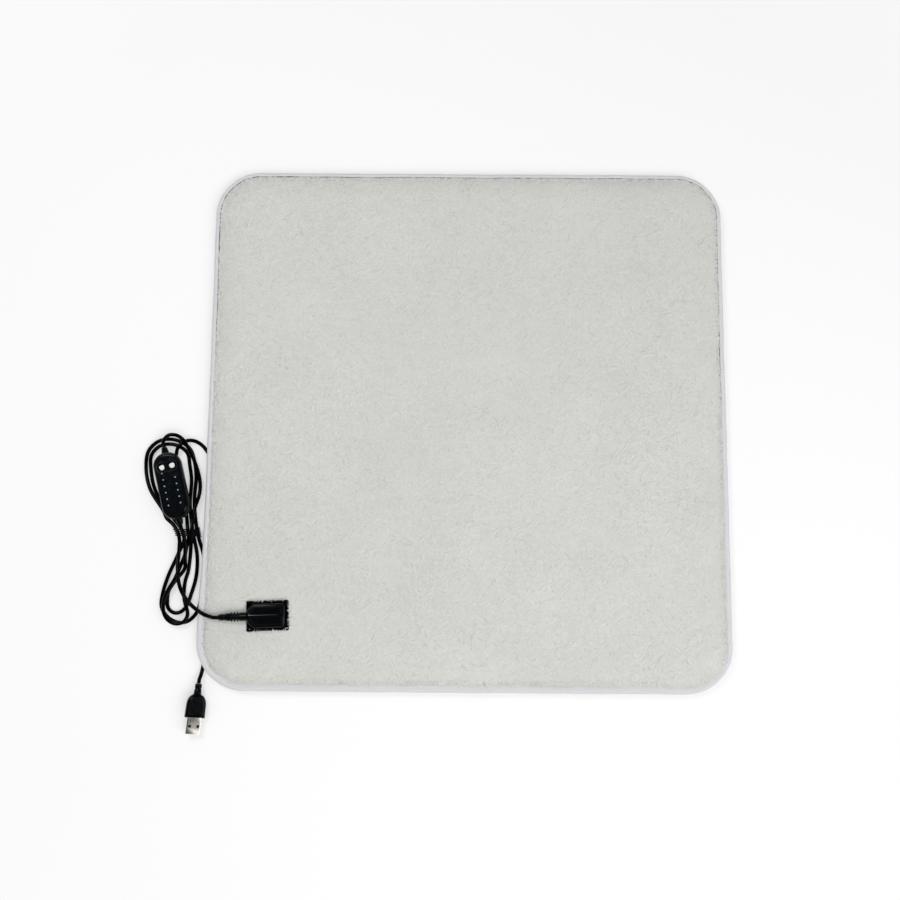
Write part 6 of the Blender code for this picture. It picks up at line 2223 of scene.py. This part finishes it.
@dataclass
class Controller:
    """The hand controller: case, glossy panel, two domed buttons, lenses and boots."""

    width: float = 0.0238
    length: float = 0.0585
    height: float = 0.0110
    corner: float = 0.0112
    edge: float = 0.0032
    edge_steps: int = 12
    margin: float = 0.0022
    seat_wall: float = 0.0016
    panel_low: float = 0.0050
    panel_high: float = 0.0058
    panel_edge: float = 0.0004
    panel_slope: float = 0.0007
    rim_margin: float = 0.0020
    rim_corner: float = 0.0013
    rim_rise: float = 0.0005
    button_size: float = 0.0064
    button_corner: float = 0.0022
    button_foot: float = 0.0013
    button_rise: float = 0.0010
    button_edge: float = 0.0006
    button_steps: int = 6
    button_slope: float = 0.13
    button_swell: float = 0.00012
    button_spacing: float = 0.0090
    button_place: float = 0.0164
    lens_diameter: float = 0.0015
    lens_low: float = 0.0003
    lens_rise: float = 0.0002
    lens_pitch: float = 0.00565
    lens_spacing: float = 0.0105
    first_lens: float = 0.0116
    left_lenses: int = 6
    right_lenses: int = 5
    boot: Boot = Boot(0.0046, 0.0066, 0.0048)

    def outline(self, inset: float) -> Outline:
        """The case's long oval outline, moved inwards."""
        corner = max(self.corner - inset, self.edge)
        return rounded_rectangle(self.width - 2 * inset, self.length - 2 * inset, corner, 14)

    def lens_places(self) -> list[list[tuple[float, float]]]:
        """Places of the lenses, in two columns below the buttons.

        Returns:
            One list of places for each column.
        """
        return [
            [(side * self.lens_spacing / 2, self.first_lens - (row + column) * self.lens_pitch) for row in range(count)]
            for column, (side, count) in enumerate(((-1, self.left_lenses), (1, self.right_lenses)))
        ]

    def top_case(self) -> Object:
        """The upper case: a ring with a round outer edge and a seat for the panel.

        Returns:
            The new piece.
        """
        half, seat = self.height / 2, self.margin - GAP
        profile = [(0.0, GAP / 2), (0.0, half - self.edge)]
        for step in range(1, self.edge_steps + 1):
            angle = math.pi / 2 * step / self.edge_steps
            inset = self.edge * (1 - math.cos(angle))
            if inset < seat - 0.0001:
                profile.append((inset, half - self.edge * (1 - math.sin(angle))))
        level, wall, shelf = profile[-1][1], seat + self.seat_wall, self.panel_low - GAP
        profile += [(seat - 0.00005, level), (seat, level - 0.0001), (seat, shelf), (wall, shelf), (wall, GAP / 2)]
        rings = level_rings(self.outline, profile)
        return Shape().loft(rings, wrap=True).piece("controller_upper_case", HOUSING, PLACES.case, 40.0)

    def block(self, name: str, size: Point, x: float, low: float, high: float) -> Object:
        """A tool block beside the buttons' middle, its corners rounded and its upper edge eased.

        Args:
            name: The tool's name.
            size: Length, width and corner radius.
            x: Its place across the panel.
            low: Its lower level.
            high: Its upper level.

        Returns:
            The tool.
        """
        length, width, radius = size
        rings = level_rings(
            lambda inset: rounded_rectangle(length - 2 * inset, width - 2 * inset, radius - inset, 8),
            [(0.0, low), (0.0, high - self.panel_edge), (self.panel_edge, high)],
        )
        return Shape().loft(rings).piece(name, PANEL, Matrix.Translation((x, self.button_place, 0)))

    def panel(self) -> Object:
        """The panel: a rounded plate with a raised rim round the buttons, and holes for buttons and lenses.

        Returns:
            The new piece.
        """
        low, high, slope = self.panel_low, self.panel_high, self.panel_slope
        plate = Shape().loft(level_rings(
            lambda inset: self.outline(self.margin + inset),
            [(0.0, low), (0.0, high - self.panel_edge), (slope, high), (slope + GAP, high)],
        )).piece("controller_panel_plate", PANEL)
        hole, corner = self.button_size + 2 * GAP, self.button_corner
        rim = (self.button_spacing + hole + self.rim_margin, hole + self.rim_margin, corner + self.rim_corner)
        cut(plate, [self.block("rim", rim, 0.0, low + 0.0002, high + self.rim_rise)], "UNION")
        holes = [
            self.block("hole", (hole, hole, corner + GAP), side * self.button_spacing / 2, low - 0.001, high + 0.002)
            for side in (-1, 1)
        ]
        radius = self.lens_diameter / 2 + 0.0001
        holes += [
            turned([(low - 0.001, radius), (high + 0.001, radius)], 16).piece(
                "lens_hole", PANEL, Matrix.Translation((x, y, 0)) @ UPRIGHT
            )
            for column in self.lens_places() for x, y in column
        ]
        cut(plate, holes)
        plate.data.transform(PLACES.case)
        return bevelled(plate, 0.0001)

    def button(self, side: int, label: str) -> Object:
        """One domed button.

        Args:
            side: Minus one for the left button, one for the right one.
            label: Its name's end.

        Returns:
            The button.
        """
        foot, top = self.panel_low - self.button_foot, self.panel_high + self.button_rise
        size, corner, edge = self.button_size, self.button_corner, self.button_edge
        profile = [(0.0, foot), (0.0, top - edge)]
        for step in range(1, self.button_steps + 1):
            angle = math.pi / 2 * step / self.button_steps
            profile.append((edge * (1 - math.cos(angle)), top - edge * (1 - math.sin(angle))))
        profile += [(size / 2 * share, top) for share in (0.35, 0.55, 0.75, 0.95)]

        def outline(inset: float) -> Outline:
            """The button's outline, moved inwards."""
            radius = max(0.00005, min(corner, size / 2 - inset) * 0.98)
            return rounded_rectangle(size - 2 * inset, size - 2 * inset, radius, 8)

        rings = level_rings(outline, profile)
        # The face falls away from the lenses and swells a little in its middle
        for ring in rings[1:]:
            for index, (x, y, z) in enumerate(ring):
                swell = self.button_swell * (2 * math.hypot(x, y) / size) ** 2
                ring[index] = (x, y, z - self.button_slope * (y + size / 2) - swell)
        seat = PLACES.case @ Matrix.Translation((side * self.button_spacing / 2, self.button_place, 0))
        return Shape().loft(rings).piece("push_button_" + label, BUTTON, seat, 60.0)

    def lenses(self, row: RowRepeat) -> Object:
        """All lenses as one piece, each a short light pipe with a domed end.

        Args:
            row: Tree that sets them along their columns.

        Returns:
            The lenses.
        """
        radius, high = self.lens_diameter / 2, self.panel_high + self.lens_rise
        dome = [(high - 0.0003, radius), (high - 0.0001, radius * 0.8), (high, radius * 0.4)]
        pipe = turned([(self.lens_low, radius), *dome], 14).piece("pipe", LENS, UPRIGHT)
        # A hair less than the pitch, so that the last one isn't lost
        sizes = {"Spacing": self.lens_pitch - 0.000001, "Seed": 1}
        columns = []
        for column in self.lens_places():
            ends = [PLACES.case @ Vector((x, y, 0)) for x, y in (column[0], column[-1])]
            base = line_base("column", np.array([tuple(end) for end in ends]), closed=False)
            columns.append(row.run("indicator_lenses", base, pipe, LENS, sizes, smooth=40.0))
        first, second = columns
        with opened(first.data) as both:
            both.from_mesh(second.data)
        for tool in (second, pipe):
            bpy.data.objects.remove(tool, do_unlink=True)
        return first

    def build(self, row: RowRepeat) -> list[Object]:
        """Make the controller.

        Args:
            row: Tree for the lenses.

        Returns:
            Its pieces.
        """
        upper, lower = self.top_case(), softened("controller_bottom_case", HOUSING, 0.0002, "controller_lower_case")
        pieces = [
            place(upper, Body.CORD_SET, Slot.HOUSING, "controller_top_case"),
            place(lower, Body.CORD_SET, Slot.HOUSING, "controller_bottom_case"),
            place(self.panel(), Body.CORD_SET, Slot.HOUSING, "controller_panel"),
            place(self.button(-1, "left"), Body.LEFT_BUTTON, Slot.BUTTON, "button_left"),
            place(self.button(1, "right"), Body.RIGHT_BUTTON, Slot.BUTTON, "button_right"),
            place(self.lenses(row), Body.CORD_SET, Slot.LENS, *[f"indicator_lens_{i:02d}" for i in range(1, 12)]),
        ]
        for side, label in ((1, "top"), (-1, "bottom")):
            end = Matrix.Translation((0, side * (self.length / 2 + GAP), 0))
            at = PLACES.case @ end @ Matrix.Rotation(side * math.pi / 2, 4, "Z")
            piece = self.boot.piece(f"controller_relief_{label}", at)
            pieces.append(place(piece, Body.CORD_SET, Slot.HOUSING, f"controller_boot_{label}"))
        inside = ("controller_board", "tact_switch_left", "tact_switch_right", "case_screw_1", "case_screw_2")
        return pieces + [frame["nodes"][node] for node in inside]


# ---------------------------------------------------------------- USB plug


@dataclass
class UsbPlug:
    """The USB plug: boot, chamfered grip, bright shell, and the tongue and contacts inside."""

    boot: Boot = Boot(0.0090, 0.0066, 0.0054)
    length: float = 0.0190
    width: float = 0.0160
    height: float = 0.0080
    chamfer: float = 0.0019
    ease: float = 0.0002
    stations = ((0, 0.44), (0.03, 0.54), (0.07, 0.66), (0.11, 0.755), (0.17, 0.84), (0.23, 0.905), (0.29, 0.95),
                (0.36, 0.985), (0.44, 1.0), (0.70, 1.015), (0.97, 1.03), (1, 1.01))

    def outline(self, inset: float = 0.0) -> Outline:
        """The grip's outline: round shoulders at the boot, widening a little towards the shell."""
        right = [(self.width / 2 * wide, -self.boot.length - self.length * share) for share, wide in self.stations]
        return shrunk([(-x, y) for x, y in right] + right[::-1], inset)

    def grip(self) -> Object:
        """The grip: chamfered all round, with a flat raised face on both sides.

        Returns:
            The new piece.
        """
        half, wide, ease = self.height / 2, self.chamfer, self.ease
        upper = [
            (0.0, 0.0), (0.0, half - 1.1 * wide), (0.25 * wide, half - 0.75 * wide),
            (wide - ease, half - 0.32 * wide), (wide, half - 0.28 * wide), (wide + ease, half - ease),
            (wide + 2 * ease, half),
        ]
        profile = [(inset, -z) for inset, z in reversed(upper)] + upper[1:]
        return Shape().loft(level_rings(self.outline, profile)).piece("usb_grip_moulded", RUBBER, PLACES.usb, 28.0)

    def build(self) -> list[Object]:
        """Make the plug.

        Returns:
            Its pieces.
        """
        at = PLACES.usb @ Matrix.Translation((0, -self.boot.length, 0)) @ Matrix.Rotation(math.pi / 2, 4, "Z")
        pieces = [
            place(self.boot.piece("usb_relief", at), Body.CORD_SET, Slot.HOUSING, "usb_boot"),
            place(self.grip(), Body.CORD_SET, Slot.HOUSING, "usb_grip"),
            place(softened("usb_shell", NICKEL, 0.0), Body.CORD_SET, Slot.SHELL, "usb_shell"),
        ]
        return pieces + [frame["nodes"][node] for node in ("usb_tongue", "usb_contact_1", "usb_contact_2")]


# ---------------------------------------------------------------- whole object


def main() -> None:
    """Build the studio and every piece."""
    logging.basicConfig(level=logging.INFO, format="%(name)s: %(message)s")
    Studio().build()
    row, scatter = RowRepeat(), SurfaceRepeat()
    controller = Controller().build(row)
    usb_plug = UsbPlug().build()
    Lead().build(controller, usb_plug)
    Connector().build()
    form = PadForm()
    Binding(form).build(row)
    Plush(form).build(scatter, row)
    PadInside(form).build()
    dress_nodes()


if __name__ == "__main__":
    main()
